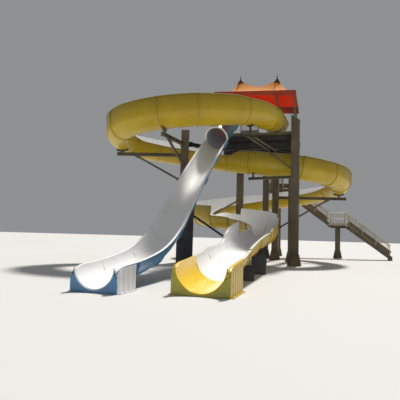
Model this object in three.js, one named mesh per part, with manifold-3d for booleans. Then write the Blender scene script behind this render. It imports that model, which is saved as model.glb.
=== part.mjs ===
// Water slide tower: an open yellow body slide that makes two big loops round a
// steel tower, and a straight white slide that drops from the same deck.
// Millimetres, +Z up. The origin is the middle of the footprint, on the ground.
import * as THREE from 'three';
import { mergeVertices } from 'three/addons/utils/BufferGeometryUtils.js';
import Module from 'manifold-3d';

const wasm = await Module();
wasm.setup();

// ---------------------------------------------------------------- dimensions
const SHIFT_X = -5.35704;      // metres: layout frame to the middle of the footprint
const SHIFT_Y = -25.57143;
const GAP = 0.0003;           // clearance where two pieces touch
const YW = 1.44;              // yellow channel, inside width
const YT = 0.035;             // yellow shell thickness
const WW = 1.18;              // white channel, inside width
const WT = 0.035;             // white shell thickness
const LIP = 0.06;             // rolled rim, outwards
const DECK_Z = 8.12;          // top of the tower deck
const LAND1_Z = 2.83;         // lower landing
const LAND2_Z = 5.55;         // upper landing
const COL = 0.46;             // column width

// ------------------------------------------------------------- small helpers
const group = new THREE.Group();
const V = (x, y, z) => new THREE.Vector3(x, y, z);

function add(name, geo, look) {
  const g = geo.clone();
  g.deleteAttribute('normal');
  g.deleteAttribute('uv');
  g.translate(SHIFT_X, SHIFT_Y, 0);
  g.scale(1000, 1000, 1000);
  const m = new THREE.Mesh(g, new THREE.MeshStandardMaterial({
    color: look.color, roughness: look.roughness, metalness: look.metalness }));
  m.name = name;
  group.add(m);
  return m;
}

const LOOKS = {
  yellow: { color: 0xe1b932, roughness: 0.3, metalness: 0.0 },
  white: { color: 0xf0f0ec, roughness: 0.3, metalness: 0.0 },
  steel: { color: 0x5a4f40, roughness: 0.55, metalness: 0.2 },
  dark: { color: 0x2e2b28, roughness: 0.5, metalness: 0.2 },
  pier: { color: 0x3c3c42, roughness: 0.7, metalness: 0.0 },
  rail: { color: 0xc9bfa6, roughness: 0.5, metalness: 0.2 },
  deck: { color: 0x6b6456, roughness: 0.7, metalness: 0.1 },
  fabric: { color: 0xee8237, roughness: 0.8, metalness: 0.0 },
};

function toSolid(geo) {
  const g = geo.clone();
  g.deleteAttribute('normal');
  g.deleteAttribute('uv');
  const m = mergeVertices(g, 1e-5);
  return new wasm.Manifold(new wasm.Mesh({
    numProp: 3,
    vertProperties: new Float32Array(m.attributes.position.array),
    triVerts: new Uint32Array(m.index.array),
  }));
}
function fromSolid(s) {
  const mesh = s.getMesh();
  const g = new THREE.BufferGeometry();
  g.setAttribute('position', new THREE.BufferAttribute(new Float32Array(mesh.vertProperties), 3));
  g.setIndex(new THREE.BufferAttribute(new Uint32Array(mesh.triVerts), 1));
  return g;
}
function fuse(list) {
  let s = toSolid(list[0]);
  for (let i = 1; i < list.length; i++) s = s.add(toSolid(list[i]));
  return fromSolid(s);
}
function cut(a, list) {
  let s = toSolid(a);
  for (const b of list) s = s.subtract(toSolid(b));
  return fromSolid(s);
}
// box from corner to corner
function block(x0, x1, y0, y1, z0, z1) {
  const g = new THREE.BoxGeometry(Math.abs(x1 - x0), Math.abs(y1 - y0), Math.abs(z1 - z0));
  g.translate((x0 + x1) / 2, (y0 + y1) / 2, (z0 + z1) / 2);
  return g;
}
// square bar between two points; w across, h upright
function bar(a, b, w, h) {
  const d = b.clone().sub(a);
  const len = d.length();
  const t = d.clone().normalize();
  let side = Math.abs(t.z) > 0.999 ? V(1, 0, 0) : V(t.y, -t.x, 0).normalize();
  const up = side.clone().cross(t).normalize();
  const g = new THREE.BoxGeometry(w, len, h === undefined ? w : h);
  const m = new THREE.Matrix4().makeBasis(side, t, up);
  m.setPosition(a.clone().add(b).multiplyScalar(0.5));
  g.applyMatrix4(m);
  return g;
}
// round tube bar with few sides
function rod(a, b, r, n = 8) {
  const d = b.clone().sub(a);
  const g = new THREE.CylinderGeometry(r, r, d.length(), n, 1);
  const q = new THREE.Quaternion().setFromUnitVectors(V(0, 1, 0), d.clone().normalize());
  g.applyQuaternion(q);
  const c = a.clone().add(b).multiplyScalar(0.5);
  g.translate(c.x, c.y, c.z);
  return g;
}
// closed sweep through rings of 2-D sections, each ring in its own plane
function sweep(rings) {
  const n = rings[0].pts.length;
  const pos = [];
  for (const r of rings) for (const p of r.pts) pos.push(p.x, p.y, p.z);
  const idx = [];
  for (let k = 0; k < rings.length - 1; k++) {
    for (let i = 0; i < n; i++) {
      const j = (i + 1) % n;
      const a = k * n + i, b = k * n + j, c = (k + 1) * n + j, d = (k + 1) * n + i;
      idx.push(a, b, c, a, c, d);
    }
  }
  const cap = (r, base, flip) => {
    const tris = THREE.ShapeUtils.triangulateShape(r.flat, []);
    for (const t of tris) {
      if (flip) idx.push(base + t[0], base + t[2], base + t[1]);
      else idx.push(base + t[0], base + t[1], base + t[2]);
    }
  };
  cap(rings[0], 0, true);
  cap(rings[rings.length - 1], (rings.length - 1) * n, false);
  const g = new THREE.BufferGeometry();
  g.setAttribute('position', new THREE.BufferAttribute(new Float32Array(pos), 3));
  g.setIndex(idx);
  // turn the faces out if the section runs the other way
  let vol = 0;
  const P = (i) => V(pos[3 * i], pos[3 * i + 1], pos[3 * i + 2]);
  for (let i = 0; i < idx.length; i += 3) {
    vol += P(idx[i]).dot(P(idx[i + 1]).cross(P(idx[i + 2])));
  }
  if (vol < 0) {
    for (let i = 0; i < idx.length; i += 3) { const t = idx[i + 1]; idx[i + 1] = idx[i + 2]; idx[i + 2] = t; }
    g.setIndex(idx);
  }
  return g;
}

// ------------------------------------------------------------ slide channels
// half of the channel's inside line, from the bottom to the rim at height h
function halfLine(w, h, n) {
  const r = w / 2;
  const phi = h < r ? Math.acos(1 - h / r) : Math.PI / 2;
  const arc = r * phi;
  const total = arc + Math.max(0, h - r);
  const out = [];
  for (let i = 0; i <= n; i++) {
    const s = total * i / n;
    if (s <= arc) {
      const p = s / r;
      out.push({ a: r * Math.sin(p), b: r * (1 - Math.cos(p)), na: Math.sin(p), nb: -Math.cos(p) });
    } else out.push({ a: r, b: r + s - arc, na: 1, nb: 0 });
  }
  return out;
}
// closed section: a to the right of travel, b up; (0,0) is the outside bottom
function channelSection(w, hl, hr, t, lip, n) {
  const L = halfLine(w, hl, n), R = halfLine(w, hr, n);
  const pts = [];
  const side = (H, s) => {
    const e = H[H.length - 1];
    const out = [];
    // outside line, bottom to rim, then the lip
    for (let i = 0; i < H.length - 1; i++) out.push([s * (H[i].a + t * H[i].na), t + H[i].b + t * H[i].nb]);
    const ex = e.a + t * e.na, ez = t + e.b + t * e.nb;
    out.push([s * ex, ez - 0.05]);
    out.push([s * (ex + lip), ez - 0.05]);
    out.push([s * (ex + lip), Math.max(ez, t + e.b)]);
    return out;
  };
  const right = side(R, 1), left = side(L, -1);
  for (const p of right) pts.push(p);
  for (let i = R.length - 1; i >= 0; i--) pts.push([R[i].a, t + R[i].b]);
  for (let i = 1; i < L.length; i++) pts.push([-L[i].a, t + L[i].b]);
  for (let i = left.length - 1; i >= 1; i--) pts.push(left[i]);
  return pts;
}

class Route {
  constructor(rows) {
    // rows: x, y, z of the outside bottom, left wall, right wall, width
    this.rows = rows;
    this.curve = new THREE.CatmullRomCurve3(rows.map((r) => V(r[0], r[1], r[2])), false, 'centripetal');
    this.n = rows.length - 1;
  }
  at(u) {
    const p = this.curve.getPoint(Math.min(1, Math.max(0, u / this.n)));
    const e = 1e-3;
    const a = this.curve.getPoint(Math.max(0, (u - e) / this.n));
    const b = this.curve.getPoint(Math.min(1, (u + e) / this.n));
    const t = b.sub(a).normalize();
    const side = V(t.y, -t.x, 0).normalize();
    const up = side.clone().cross(t).normalize();
    const i = Math.min(this.n - 1, Math.floor(u)), f = u - i;
    const s = f * f * (3 - 2 * f);
    const mix = (k) => this.rows[i][k] + (this.rows[i + 1][k] - this.rows[i][k]) * s;
    return { p, t, side, up, hl: mix(3), hr: mix(4), w: mix(5) };
  }
  length(u0, u1) {
    let L = 0, q = this.at(u0).p;
    for (let i = 1; i <= 60; i++) { const p = this.at(u0 + (u1 - u0) * i / 60).p; L += p.distanceTo(q); q = p; }
    return L;
  }
  ring(f, flat) {
    return { flat: flat.map((q) => new THREE.Vector2(q[0], q[1])),
      pts: flat.map((q) => f.p.clone().addScaledVector(f.side, q[0]).addScaledVector(f.up, q[1])) };
  }
  piece(u0, u1, t, step, n, sectionOf, walls) {
    const k = Math.max(2, Math.ceil(this.length(u0, u1) / step));
    const rings = [];
    for (let i = 0; i <= k; i++) {
      const f = this.at(u0 + (u1 - u0) * i / k);
      if (walls) { const v = walls(i / k, f); f.hl = v[0]; f.hr = v[1]; }
      if (i === 0) f.p.addScaledVector(f.t, GAP / 2);
      if (i === k) f.p.addScaledVector(f.t, -GAP / 2);
      rings.push(this.ring(f, (sectionOf || ((g) => channelSection(g.w, g.hl, g.hr, t, LIP, n)))(f)));
    }
    return sweep(rings);
  }
}

// yellow slide, start to exit
const yellowRows = [
  // x      y      z      left  right width
  [4.88, 27.75, 8.26, 0.70, 0.72, YW],   // 0 start tub, on the deck
  [4.50, 26.45, 8.22, 0.70, 0.72, YW],   // 1
  [3.78, 24.95, 8.01, 1.09, 0.72, YW],   // 2
  [2.75, 23.65, 7.86, 1.20, 0.72, YW],   // 3
  [1.30, 22.60, 7.55, 1.42, 0.72, YW],   // 4
  [-0.50, 22.15, 7.32, 1.50, 0.72, YW],  // 5
  [-2.20, 22.30, 7.14, 1.50, 0.72, YW],  // 6
  [-3.90, 23.10, 6.92, 1.50, 0.74, YW],  // 7
  [-4.78, 24.60, 6.68, 1.50, 0.78, YW],  // 8
  [-4.40, 26.20, 6.46, 1.54, 0.84, YW],  // 9
  [-3.00, 27.15, 6.27, 1.56, 0.88, YW],  // 10
  [-1.30, 27.45, 6.09, 1.54, 0.88, YW],  // 11
  [0.30, 27.60, 5.92, 1.26, 0.86, YW],   // 12
  [1.60, 27.65, 5.80, 0.90, 0.90, YW],   // 13
  [2.60, 27.55, 5.70, 0.76, 1.30, YW],   // 14
  [4.20, 27.25, 5.53, 0.72, 1.36, YW],   // 15
  [6.00, 27.20, 5.36, 0.72, 1.40, YW],   // 16
  [7.80, 27.75, 5.18, 0.72, 1.36, YW],   // 17
  [9.25, 29.10, 5.02, 0.72, 1.36, YW],   // 18
  [10.08, 31.20, 4.84, 0.72, 1.36, YW],  // 19
  [9.80, 33.60, 4.60, 0.72, 1.38, YW],   // 20
  [8.60, 35.50, 4.38, 0.72, 1.42, YW],   // 21
  [6.90, 36.55, 4.12, 0.72, 1.42, YW],   // 22
  [5.00, 36.80, 3.82, 0.74, 1.44, YW],   // 23
  [3.00, 36.40, 3.50, 0.74, 1.46, YW],   // 24
  [1.10, 35.30, 3.04, 0.74, 1.46, YW],   // 25
  [0.20, 33.40, 2.60, 0.74, 1.46, YW],   // 26
  [0.25, 31.20, 2.34, 0.76, 1.46, YW],   // 27
  [1.20, 29.50, 2.16, 1.05, 0.80, YW],   // 28
  [2.40, 28.60, 1.98, 1.45, 0.78, YW],   // 29
  [3.42, 27.40, 1.74, 1.52, 0.76, YW],   // 30
  [3.80, 25.60, 1.48, 1.50, 0.76, YW],   // 31
  [3.42, 23.20, 1.26, 0.98, 0.76, YW],   // 32
  [2.72, 20.60, 1.10, 0.80, 0.76, YW],   // 33
  [1.98, 18.00, 0.90, 0.76, 0.76, YW],   // 34
  [1.32, 15.80, 0.60, 0.74, 0.76, YW],   // 35
  [0.66, 13.60, 0.22, 0.72, 0.76, YW],   // 36
  [0.08, 11.70, 0.04, 0.72, 0.76, YW],   // 37
];
const yellow = new Route(yellowRows);
// the inner wall of the lower final run starts as a tall splash fin and drops fast
const FIN = [[33.2, 1.22], [33.5, 1.18], [33.9, 1.07], [34.16, 0.92], [34.34, 0.68], [34.5, 0.59], [34.9, 0.62], [35.4, 0.75]];
function splashFin(u) {
  for (let i = 1; i < FIN.length; i++) {
    if (u <= FIN[i][0] + 1e-9) {
      const k = Math.min(1, Math.max(0, (u - FIN[i - 1][0]) / (FIN[i][0] - FIN[i - 1][0])));
      return FIN[i - 1][1] + (FIN[i][1] - FIN[i - 1][1]) * k;
    }
  }
  return FIN[FIN.length - 1][1];
}
const yellowPieces = [
  ['yellow_start_tub', 0, 1.3], ['yellow_upper_right_turn', 1.3, 3.4],
  ['yellow_front_run', 3.4, 5.93],
  ['yellow_upper_left_turn', 5.93, 8.9], ['yellow_upper_back_run', 8.9, 11.55],
  ['yellow_cross_over', 11.55, 14.3], ['yellow_middle_run', 14.3, 17.3],
  ['yellow_lower_right_turn', 17.3, 20.95], ['yellow_lower_back_run', 20.95, 23.65],
  ['yellow_lower_left_turn', 23.65, 28, (k, f) => [f.hl, 1.46]],
  ['yellow_near_run', 28, 28.85, (k, f) => [1.08, 0.82]],
  ['yellow_final_turn', 28.85, 31.3, (k, f) => [1.5 + 0.04 * Math.sin(Math.PI * k), 0.78]],
  ['yellow_final_run_upper', 31.3, 33.2, (k, f) => [1.36 - 0.56 * k, 0.76 - 0.08 * k]],
  ['yellow_final_run_lower', 33.2, 35.4, (k, f) => [0.76, splashFin(33.2 + 2.2 * k)]],
];
for (const [name, a, b, walls] of yellowPieces) add(name, yellow.piece(a, b, YT, name === 'yellow_final_run_lower' ? 0.34 : 0.8, 5, null, walls), LOOKS.yellow);

// white slide: a tube at the deck, then an open chute, all on one straight line
const whiteRows = [
  [1.70, 27.00, 8.18, 0.62, 0.62, WW],  // 0 on the deck edge
  [1.32, 25.80, 7.46, 0.62, 0.62, WW],  // 1
  [0.93, 24.45, 6.55, 0.62, 0.62, WW],  // 2 tube mouth
  [0.50, 23.00, 5.62, 0.62, 0.62, WW],  // 3
  [0.12, 21.70, 4.72, 0.62, 0.62, WW],  // 4
  [-0.35, 20.10, 3.56, 0.62, 0.62, WW], // 5
  [-0.83, 18.50, 2.28, 0.62, 0.62, WW], // 6
  [-1.25, 17.10, 1.26, 0.62, 0.62, WW], // 7
  [-1.70, 15.60, 0.58, 0.62, 0.62, WW], // 8
  [-2.27, 13.70, 0.20, 0.62, 0.62, WW], // 9
  [-2.82, 11.85, 0.07, 0.60, 0.60, WW], // 10
];
const white = new Route(whiteRows);
const TUBE_H = 1.3;
function tubeSection(w, t, n) {
  const pts = [];
  const r = w / 2 + t, hh = TUBE_H + 2 * t;
  for (let i = 0; i <= n; i++) { const p = Math.PI * i / n; pts.push([r * Math.cos(Math.PI + p), r + r * Math.sin(Math.PI + p)]); }
  for (let i = 0; i <= n; i++) { const p = Math.PI * i / n; pts.push([r * Math.cos(p), hh - r + r * Math.sin(p)]); }
  return pts;
}
{
  const outer = white.piece(0, 2, WT, 0.8, 5, (f) => tubeSection(f.w, WT, 7));
  const rings = [];
  for (let i = 0; i <= 4; i++) {
    const f = white.at(2 * i / 4);
    if (i === 0) f.p.addScaledVector(f.t, -0.3);
    if (i === 4) f.p.addScaledVector(f.t, 0.3);
    f.p.addScaledVector(f.up, WT);
    rings.push(white.ring(f, tubeSection(f.w, 0, 7)));
  }
  add('white_start_tube', cut(outer, [sweep(rings)]), LOOKS.white);
}
const whitePieces = [
  ['white_chute_upper', 2, 4.68], ['white_chute_lower', 4.68, 6.9], ['white_chute_curve', 6.9, 9.2],
];
for (const [name, a, b] of whitePieces) add(name, white.piece(a, b, WT, 0.8, 5), LOOKS.white);

// exits: the last channel section with its side skirts and front bulkhead, one moulding
function exitPiece(route, u0, us, u1, half, top, w, shell) {
  const f = route.at(u1), b = route.at(us);
  const t = V(f.t.x, f.t.y, 0).normalize(), side = V(t.y, -t.x, 0);
  const front = V(f.p.x, f.p.y, 0).addScaledVector(t, 0.038);
  const len = front.distanceTo(V(b.p.x, b.p.y, 0));
  const place = (g) => { const m = new THREE.Matrix4().makeBasis(side, t, V(0, 0, 1)); m.setPosition(front); g.applyMatrix4(m); return g; };
  const skirt = 0.05;
  // front plate with the channel's mouth cut out, then the two skirts and the
  // channel, whose end runs 12 mm into the plate
  const r = w / 2 + 0.006, zc = f.p.z + shell + w / 2;
  const mouth = [];
  for (let k = 0; k <= 12; k++) { const p = Math.PI + Math.PI * k / 12; mouth.push([r * Math.cos(p), zc + r * Math.sin(p)]); }
  mouth.push([r, 1.5], [-r, 1.5]);
  const ringAt = (y) => ({ flat: mouth.map((q) => new THREE.Vector2(q[0], q[1])), pts: mouth.map((q) => V(q[0], y, q[1])) });
  // both the plate and the skirts have their upper corners rounded off
  const outline = [[-half, 0], [half, 0], [half, top - 0.2], [half - 0.02, top - 0.1], [half - 0.09, top], [-half + 0.09, top], [-half + 0.02, top - 0.1], [-half, top - 0.2]];
  const plateAt = (y) => ({ flat: outline.map((q) => new THREE.Vector2(q[0], q[1])), pts: outline.map((q) => V(q[0], y, q[1])) });
  const plate = cut(sweep([plateAt(-skirt), plateAt(0)]), [sweep([ringAt(-0.2), ringAt(0.2)])]);
  const side2 = [[-len, 0], [-skirt / 2, 0], [-skirt / 2, top - 0.21], [-0.07, top - 0.1], [-0.16, top - 0.02], [-0.26, top], [-len, top]];
  const skirtAt = (x) => ({ flat: side2.map((q) => new THREE.Vector2(q[0], q[1])), pts: side2.map((q) => V(x, q[0], q[1])) });
  return fuse([
    place(plate),
    place(sweep([skirtAt(-half), skirtAt(-half + skirt)])),
    place(sweep([skirtAt(half - skirt), skirtAt(half)])),
    route.piece(u0, u1, shell, 0.8, 5),
  ]);
}
add('yellow_exit', exitPiece(yellow, 35.4, 36.15, 37, 0.84, 0.82, YW, YT), LOOKS.yellow);
add('white_exit', exitPiece(white, 9.2, 9.4, 10, 0.72, 0.66, WW, WT), LOOKS.white);

// ------------------------------------------------------------------- columns
function column(x, y, z, w = COL, z0 = 0, flare = 0.16) {
  // upright box column on a flared foot
  const s = w / 2, f = s + flare;
  const shape = new THREE.BoxGeometry(w, w, z - z0 - 0.6);
  shape.translate(x, y, z0 + 0.6 + (z - z0 - 0.6) / 2);
  const foot = new THREE.CylinderGeometry(s * Math.SQRT2 * 1.12, f * Math.SQRT2, 0.7, 4, 1);
  foot.rotateY(Math.PI / 4); foot.rotateX(Math.PI / 2);
  foot.translate(x, y, z0 + 0.35);
  return fuse([shape, foot]);
}
// the tower stands turned to the slides' direction: p runs to the right along
// the deck's front edge, q runs back from it
const TURN = 16 * Math.PI / 180;
const CORNER = V(5.5, 25.9, 0);
const E1 = V(Math.cos(TURN), -Math.sin(TURN), 0), E2 = V(Math.sin(TURN), Math.cos(TURN), 0);
const T = (p, q, z) => CORNER.clone().addScaledVector(E1, p).addScaledVector(E2, q).setZ(z);
function turned(g) {
  const m = new THREE.Matrix4().makeBasis(E1, E2, V(0, 0, 1));
  m.setPosition(CORNER);
  g.applyMatrix4(m);
  return g;
}
const DECK_W = 4.75, DECK_R = 0.25, DECK_D = 4.3;

// columns in tower coordinates
const FRAME_Z = 7.08;        // underside of the deck frame
const WALK_Z = DECK_Z - 0.44; // underside of the walkway beams
const WALK_Q = 8.9;          // far end of the walkway
function towerColumn(p, q, z, w = COL) {
  return turned(column(p, q, z, w));
}
const world = (g) => g;
{
  // the front right column rises past the deck to a slanted top; it carries an
  // arm under the middle run and a knee brace up to the deck
  const w = 0.5, p = 0.24, q = -0.27;
  const c = column(p, q, 9.05, w);
  const wedge = bar(V(p - 1.2, q, 9.72), V(p + 1.2, q, 8.1), 1.2, 1.0);
  wedge.translate(0.3, 0, 0.35);
  add('front_right_column', fuse([
    turned(cut(c, [wedge])),
    bar(T(0.1, -0.2, 5.3), V(3.1, 27.4, 5.34), 0.14, 0.16),
    bar(T(0.1, -0.3, 5.75), T(-1.2, -0.13, 6.76), 0.1, 0.12),
  ]), LOOKS.steel);
}
// the left column stands inside the upper loop: arms to the left turn, the front
// run, the back run and the white chute
add('left_column', fuse([
  column(-0.98, 25.2, 7.8, COL, 3.1 + GAP, 0.1),
  bar(V(-1.0, 25.22, 6.33), V(-5.0, 25.4, 6.33), 0.16, 0.2),
  bar(V(-1.0, 25.22, 4.68), V(-3.9, 25.35, 6.33), 0.12, 0.14),
  bar(V(-1.05, 25.1, 6.95), V(-2.1, 22.5, 6.95), 0.16, 0.2),
  bar(V(-1.0, 25.1, 5.6), V(-1.85, 23.2, 6.9), 0.12, 0.14),
  bar(V(-0.98, 25.2, 5.92), V(-0.98, 28.0, 5.92), 0.16, 0.18),
  bar(V(-0.98, 25.2, 4.5), V(-0.98, 27.0, 5.9), 0.12, 0.14),
  bar(V(-0.9, 25.2, 4.95), V(0.5, 23.3, 5.35), 0.14, 0.18),
]), LOOKS.steel);
add('left_column_pedestal', block(-0.82 - 0.48, -0.82 + 0.48, 25.2 - 0.48, 25.2 + 0.48, 0, 3.1), LOOKS.pier);
add('back_left_column', fuse([towerColumn(-3.9, 4.05, FRAME_Z - GAP), bar(T(-4.0, 4.05, 4.2), V(1.15, 32.3, 3.3), 0.1, 0.12)]), LOOKS.steel);
add('back_right_column', towerColumn(-0.23, 4.05, FRAME_Z - GAP), LOOKS.steel);
add('walkway_column_right', fuse([towerColumn(-1.5, 5.45, WALK_Z - GAP),
  bar(T(-1.4, 5.4, 4.55), V(10.55, 31.0, 4.55), 0.16, 0.2),
  bar(T(-1.4, 5.4, 2.2), V(9.3, 31.05, 4.5), 0.12, 0.14)]), LOOKS.steel);
add('walkway_column_left', fuse([towerColumn(-2.55, 8.1, WALK_Z - GAP),
  bar(T(-2.55, 8.2, 3.62), V(5.0, 36.9, 3.62), 0.16, 0.18)]), LOOKS.steel);

// ---------------------------------------------------------------------- deck
// beams under the floor, welded into one frame
{
  const B = [];
  for (const q of [0.12, 2.15, DECK_D - 0.12]) B.push(block(-DECK_W, DECK_R, q - 0.1, q + 0.1, FRAME_Z, FRAME_Z + 0.46));
  for (const p of [-DECK_W + 0.1, -3.15, -1.6, DECK_R - 0.1]) B.push(block(p - 0.08, p + 0.08, 0.03, DECK_D - 0.03, FRAME_Z + 0.42, DECK_Z - 0.16));
  // edge plates all round
  for (const q of [0, DECK_D - 0.05]) B.push(block(-DECK_W, DECK_R, q, q + 0.05, FRAME_Z + 0.5, DECK_Z - 0.16));
  for (const p of [-DECK_W, DECK_R - 0.05]) B.push(block(p, p + 0.05, 0, DECK_D, FRAME_Z + 0.5, DECK_Z - 0.16));
  add('deck_frame', turned(fuse(B)), LOOKS.dark);
}
add('deck_floor', turned(block(-DECK_W, DECK_R, 0, DECK_D, DECK_Z - 0.16 + GAP, DECK_Z)), LOOKS.deck);
// walkway to the stair: two side beams and a floor, in one
add('walkway', turned(fuse([
  block(-2.55, -2.40, DECK_D + GAP, WALK_Q, WALK_Z, DECK_Z - 0.1), block(-1.60, -1.45, DECK_D + GAP, WALK_Q, WALK_Z, DECK_Z - 0.1),
  block(-2.55, -1.45, 5.4, 5.55, WALK_Z, DECK_Z - 0.1), block(-2.55, -1.45, 8.0, 8.15, WALK_Z, DECK_Z - 0.1),
  block(-2.55, -1.45, DECK_D + GAP, WALK_Q, DECK_Z - 0.16, DECK_Z),
])), LOOKS.deck);

// guard panel between two points: posts, top, middle and bottom rails, upright bars
// parts of one guard: a and b are feet; the foot height may rise along it
function guardBars(a, b, h = 1.07, gap = 1.3, sloped = false, sink = 0) {
  const n = Math.max(2, Math.round(a.distanceTo(b) / gap) + 1);
  const list = [];
  const up = (v, z) => v.clone().add(V(0, 0, z));
  for (let i = 0; i < n; i++) {
    const q = a.clone().lerp(b, 0.02 + 0.96 * i / (n - 1));
    list.push(bar(up(q, sink ? -sink : GAP), up(q, h), 0.056));
  }
  list.push(bar(up(a, h), up(b, h), 0.066, 0.05));
  list.push(bar(up(a, h * 0.54), up(b, h * 0.54), 0.04, 0.04));
  if (!sloped) list.push(bar(up(a, 0.13), up(b, 0.13), 0.04, 0.16));
  return list;
}
const P = (p, q) => T(p, q, DECK_Z);
add('deck_guard_front', fuse(guardBars(P(-3.2, 0.06), P(-2.05, 0.06))), LOOKS.rail);
add('deck_guard_left', fuse([...guardBars(P(-DECK_W + 0.06, 0.35), P(-DECK_W + 0.06, DECK_D - 0.06)),
  ...guardBars(P(-DECK_W + 0.06, DECK_D - 0.06), P(-2.62, DECK_D - 0.06))]), LOOKS.rail);
add('deck_guard_right', fuse([...guardBars(P(DECK_R - 0.06, 0.12), P(DECK_R - 0.06, DECK_D - 0.06)),
  ...guardBars(P(DECK_R - 0.06, DECK_D - 0.06), P(-1.38, DECK_D - 0.06))]), LOOKS.rail);
add('walkway_guard_left', fuse(guardBars(P(-2.5, DECK_D + 0.04), P(-2.5, WALK_Q - 0.03))), LOOKS.rail);
add('walkway_guard_right', fuse(guardBars(P(-1.5, DECK_D + 0.04), P(-1.5, WALK_Q - 0.03))), LOOKS.rail);

// -------------------------------------------------------------------- canopy
// square tensile roof on four posts, two peaks, fabric as one closed sheet
const CAN_W = 4.9, CAN_D = 3.55, CAN_Q0 = -0.75, CAN_P0 = -4.65;
const CAN_SKEW = 0.11;        // front and back edges run slightly askew to the deck
const EAVE_Z = 10.48, PEAK_Z = 11.82;
function askew(g) {
  const m = new THREE.Matrix4().set(1, 0, 0, 0, CAN_SKEW, 1, 0, -CAN_SKEW * (CAN_P0 + CAN_W), 0, 0, 1, 0, 0, 0, 0, 1);
  return g.clone().applyMatrix4(m);
}
const askewQ = (p, q) => q - CAN_SKEW * (CAN_P0 + CAN_W - p);
{
  const head = [];
  const inset = 0.06;
  const corners = [[CAN_P0 + inset, CAN_Q0 + inset], [CAN_P0 + CAN_W - inset, CAN_Q0 + inset],
    [CAN_P0 + CAN_W - inset, CAN_Q0 + CAN_D - inset], [CAN_P0 + inset, CAN_Q0 + CAN_D - inset]];
  const e = EAVE_Z - 0.0523;     // the sheet's edge lies on the edge beams
  for (let i = 0; i < 4; i++) {
    const a = corners[i], b = corners[(i + 1) % 4];
    head.push(bar(V(a[0], a[1], e), V(b[0], b[1], e), 0.08, 0.08));
  }
  for (const c of corners) head.push(block(c[0] - 0.05, c[0] + 0.05, c[1] - 0.05, c[1] + 0.05, e - 0.06, e + 0.04));
  // ties between the edge beams and the two masts that hold the peaks
  const cq = CAN_Q0 + CAN_D / 2, cp = CAN_P0 + CAN_W / 2;
  for (const s of [-1, 1]) {
    const x = cp + s * 1.17;
    head.push(block(x - 0.04, x + 0.04, CAN_Q0 + inset, CAN_Q0 + CAN_D - inset, e - 0.04, e + 0.04));
    head.push(block(x - 0.045, x + 0.045, cq - 0.045, cq + 0.045, e, PEAK_Z + 0.3));
  }
  const posts = [askew(fuse(head))];
  // the front right post is bolted to the face of its column, the others stand on the deck
  posts.push(block(corners[1][0] - 0.05, corners[1][0] + 0.05, -0.69, -0.59, 8.2, e));
  for (const z of [8.35, 8.85]) posts.push(block(corners[1][0] - 0.08, corners[1][0] + 0.08, -0.64, -0.52 - GAP, z, z + 0.08));
  const backLeft = askewQ(corners[3][0], corners[3][1]), backRight = askewQ(corners[2][0], corners[2][1]);
  for (const [p, q] of [[-4.6, 0.12], [-4.55, backLeft], [0.09, backRight]]) posts.push(block(p - 0.05, p + 0.05, q - 0.05, q + 0.05, DECK_Z + 0.0203, e));
  posts.push(block(0.05, corners[2][0], backRight - 0.04, backRight + 0.04, e - 0.04, e + 0.04));
  add('canopy_frame', turned(fuse(posts)), LOOKS.steel);

  // fabric: grid sheet, drawn up to a saddle ridge with a peak at each mast
  const th = 0.012, HALF = 1.17;
  const along = [0.3, 0.6, 0.82, 1.0, HALF, 1.34, 1.55, 1.8, 2.1, CAN_W / 2];
  const across = [0.12, 0.26, 0.46, 0.74, 1.1, 1.45, CAN_D / 2];
  const lines = (h) => [...h.map((d) => -d).reverse(), 0, ...h];
  const PS = lines(along), QS = lines(across);
  const N = PS.length - 1, M = QS.length - 1;
  const height = (dp, dq) => {
    const a = Math.abs(dp);
    const t = Math.max(0, 1 - (a - HALF) / (CAN_W / 2 - HALF));
    const ridge = a <= HALF ? 11.37 + (PEAK_Z - 0.02 - 11.37) * (a / HALF) ** 2
      : EAVE_Z + (PEAK_Z - 0.02 - EAVE_Z) * (0.93 * Math.pow(t, 1.05) + 0.07 * Math.pow(t, 8));
    return EAVE_Z + (ridge - EAVE_Z) * Math.pow(1 - Math.abs(dq) / (CAN_D / 2), 1.8);
  };
  const top = [], bot = [];
  for (let j = 0; j <= M; j++) for (let i = 0; i <= N; i++) {
    const z = height(PS[i], QS[j]);
    top.push([cp + PS[i], cq + QS[j], z]); bot.push([cp + PS[i], cq + QS[j], z - th]);
  }
  const pos = [];
  for (const a of top) pos.push(...a);
  for (const a of bot) pos.push(...a);
  const off = top.length, idx = [], W = N + 1;
  for (let j = 0; j < M; j++) for (let i = 0; i < N; i++) {
    const a = j * W + i, b = a + 1, c = a + W + 1, d = a + W;
    idx.push(a, b, c, a, c, d);
    idx.push(off + a, off + c, off + b, off + a, off + d, off + c);
  }
  const rim = [];
  for (let i = 0; i < N; i++) rim.push(i);
  for (let j = 0; j < M; j++) rim.push(j * W + N);
  for (let i = N; i > 0; i--) rim.push(M * W + i);
  for (let j = M; j > 0; j--) rim.push(j * W);
  for (let k = 0; k < rim.length; k++) {
    const a = rim[k], b = rim[(k + 1) % rim.length];
    idx.push(a, off + a, off + b, a, off + b, b);
  }
  const g = new THREE.BufferGeometry();
  g.setAttribute('position', new THREE.BufferAttribute(new Float32Array(pos), 3));
  g.setIndex(idx);
  // holes for the two masts
  let fab = g;
  const cuts = [];
  for (const s of [-1, 1]) { const x = cp + s * 1.17; cuts.push(block(x - 0.06, x + 0.06, cq - 0.06, cq + 0.06, 10, 13)); }
  fab = cut(fab, cuts);
  add('canopy_fabric', turned(askew(fab)), LOOKS.fabric);
}

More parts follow.
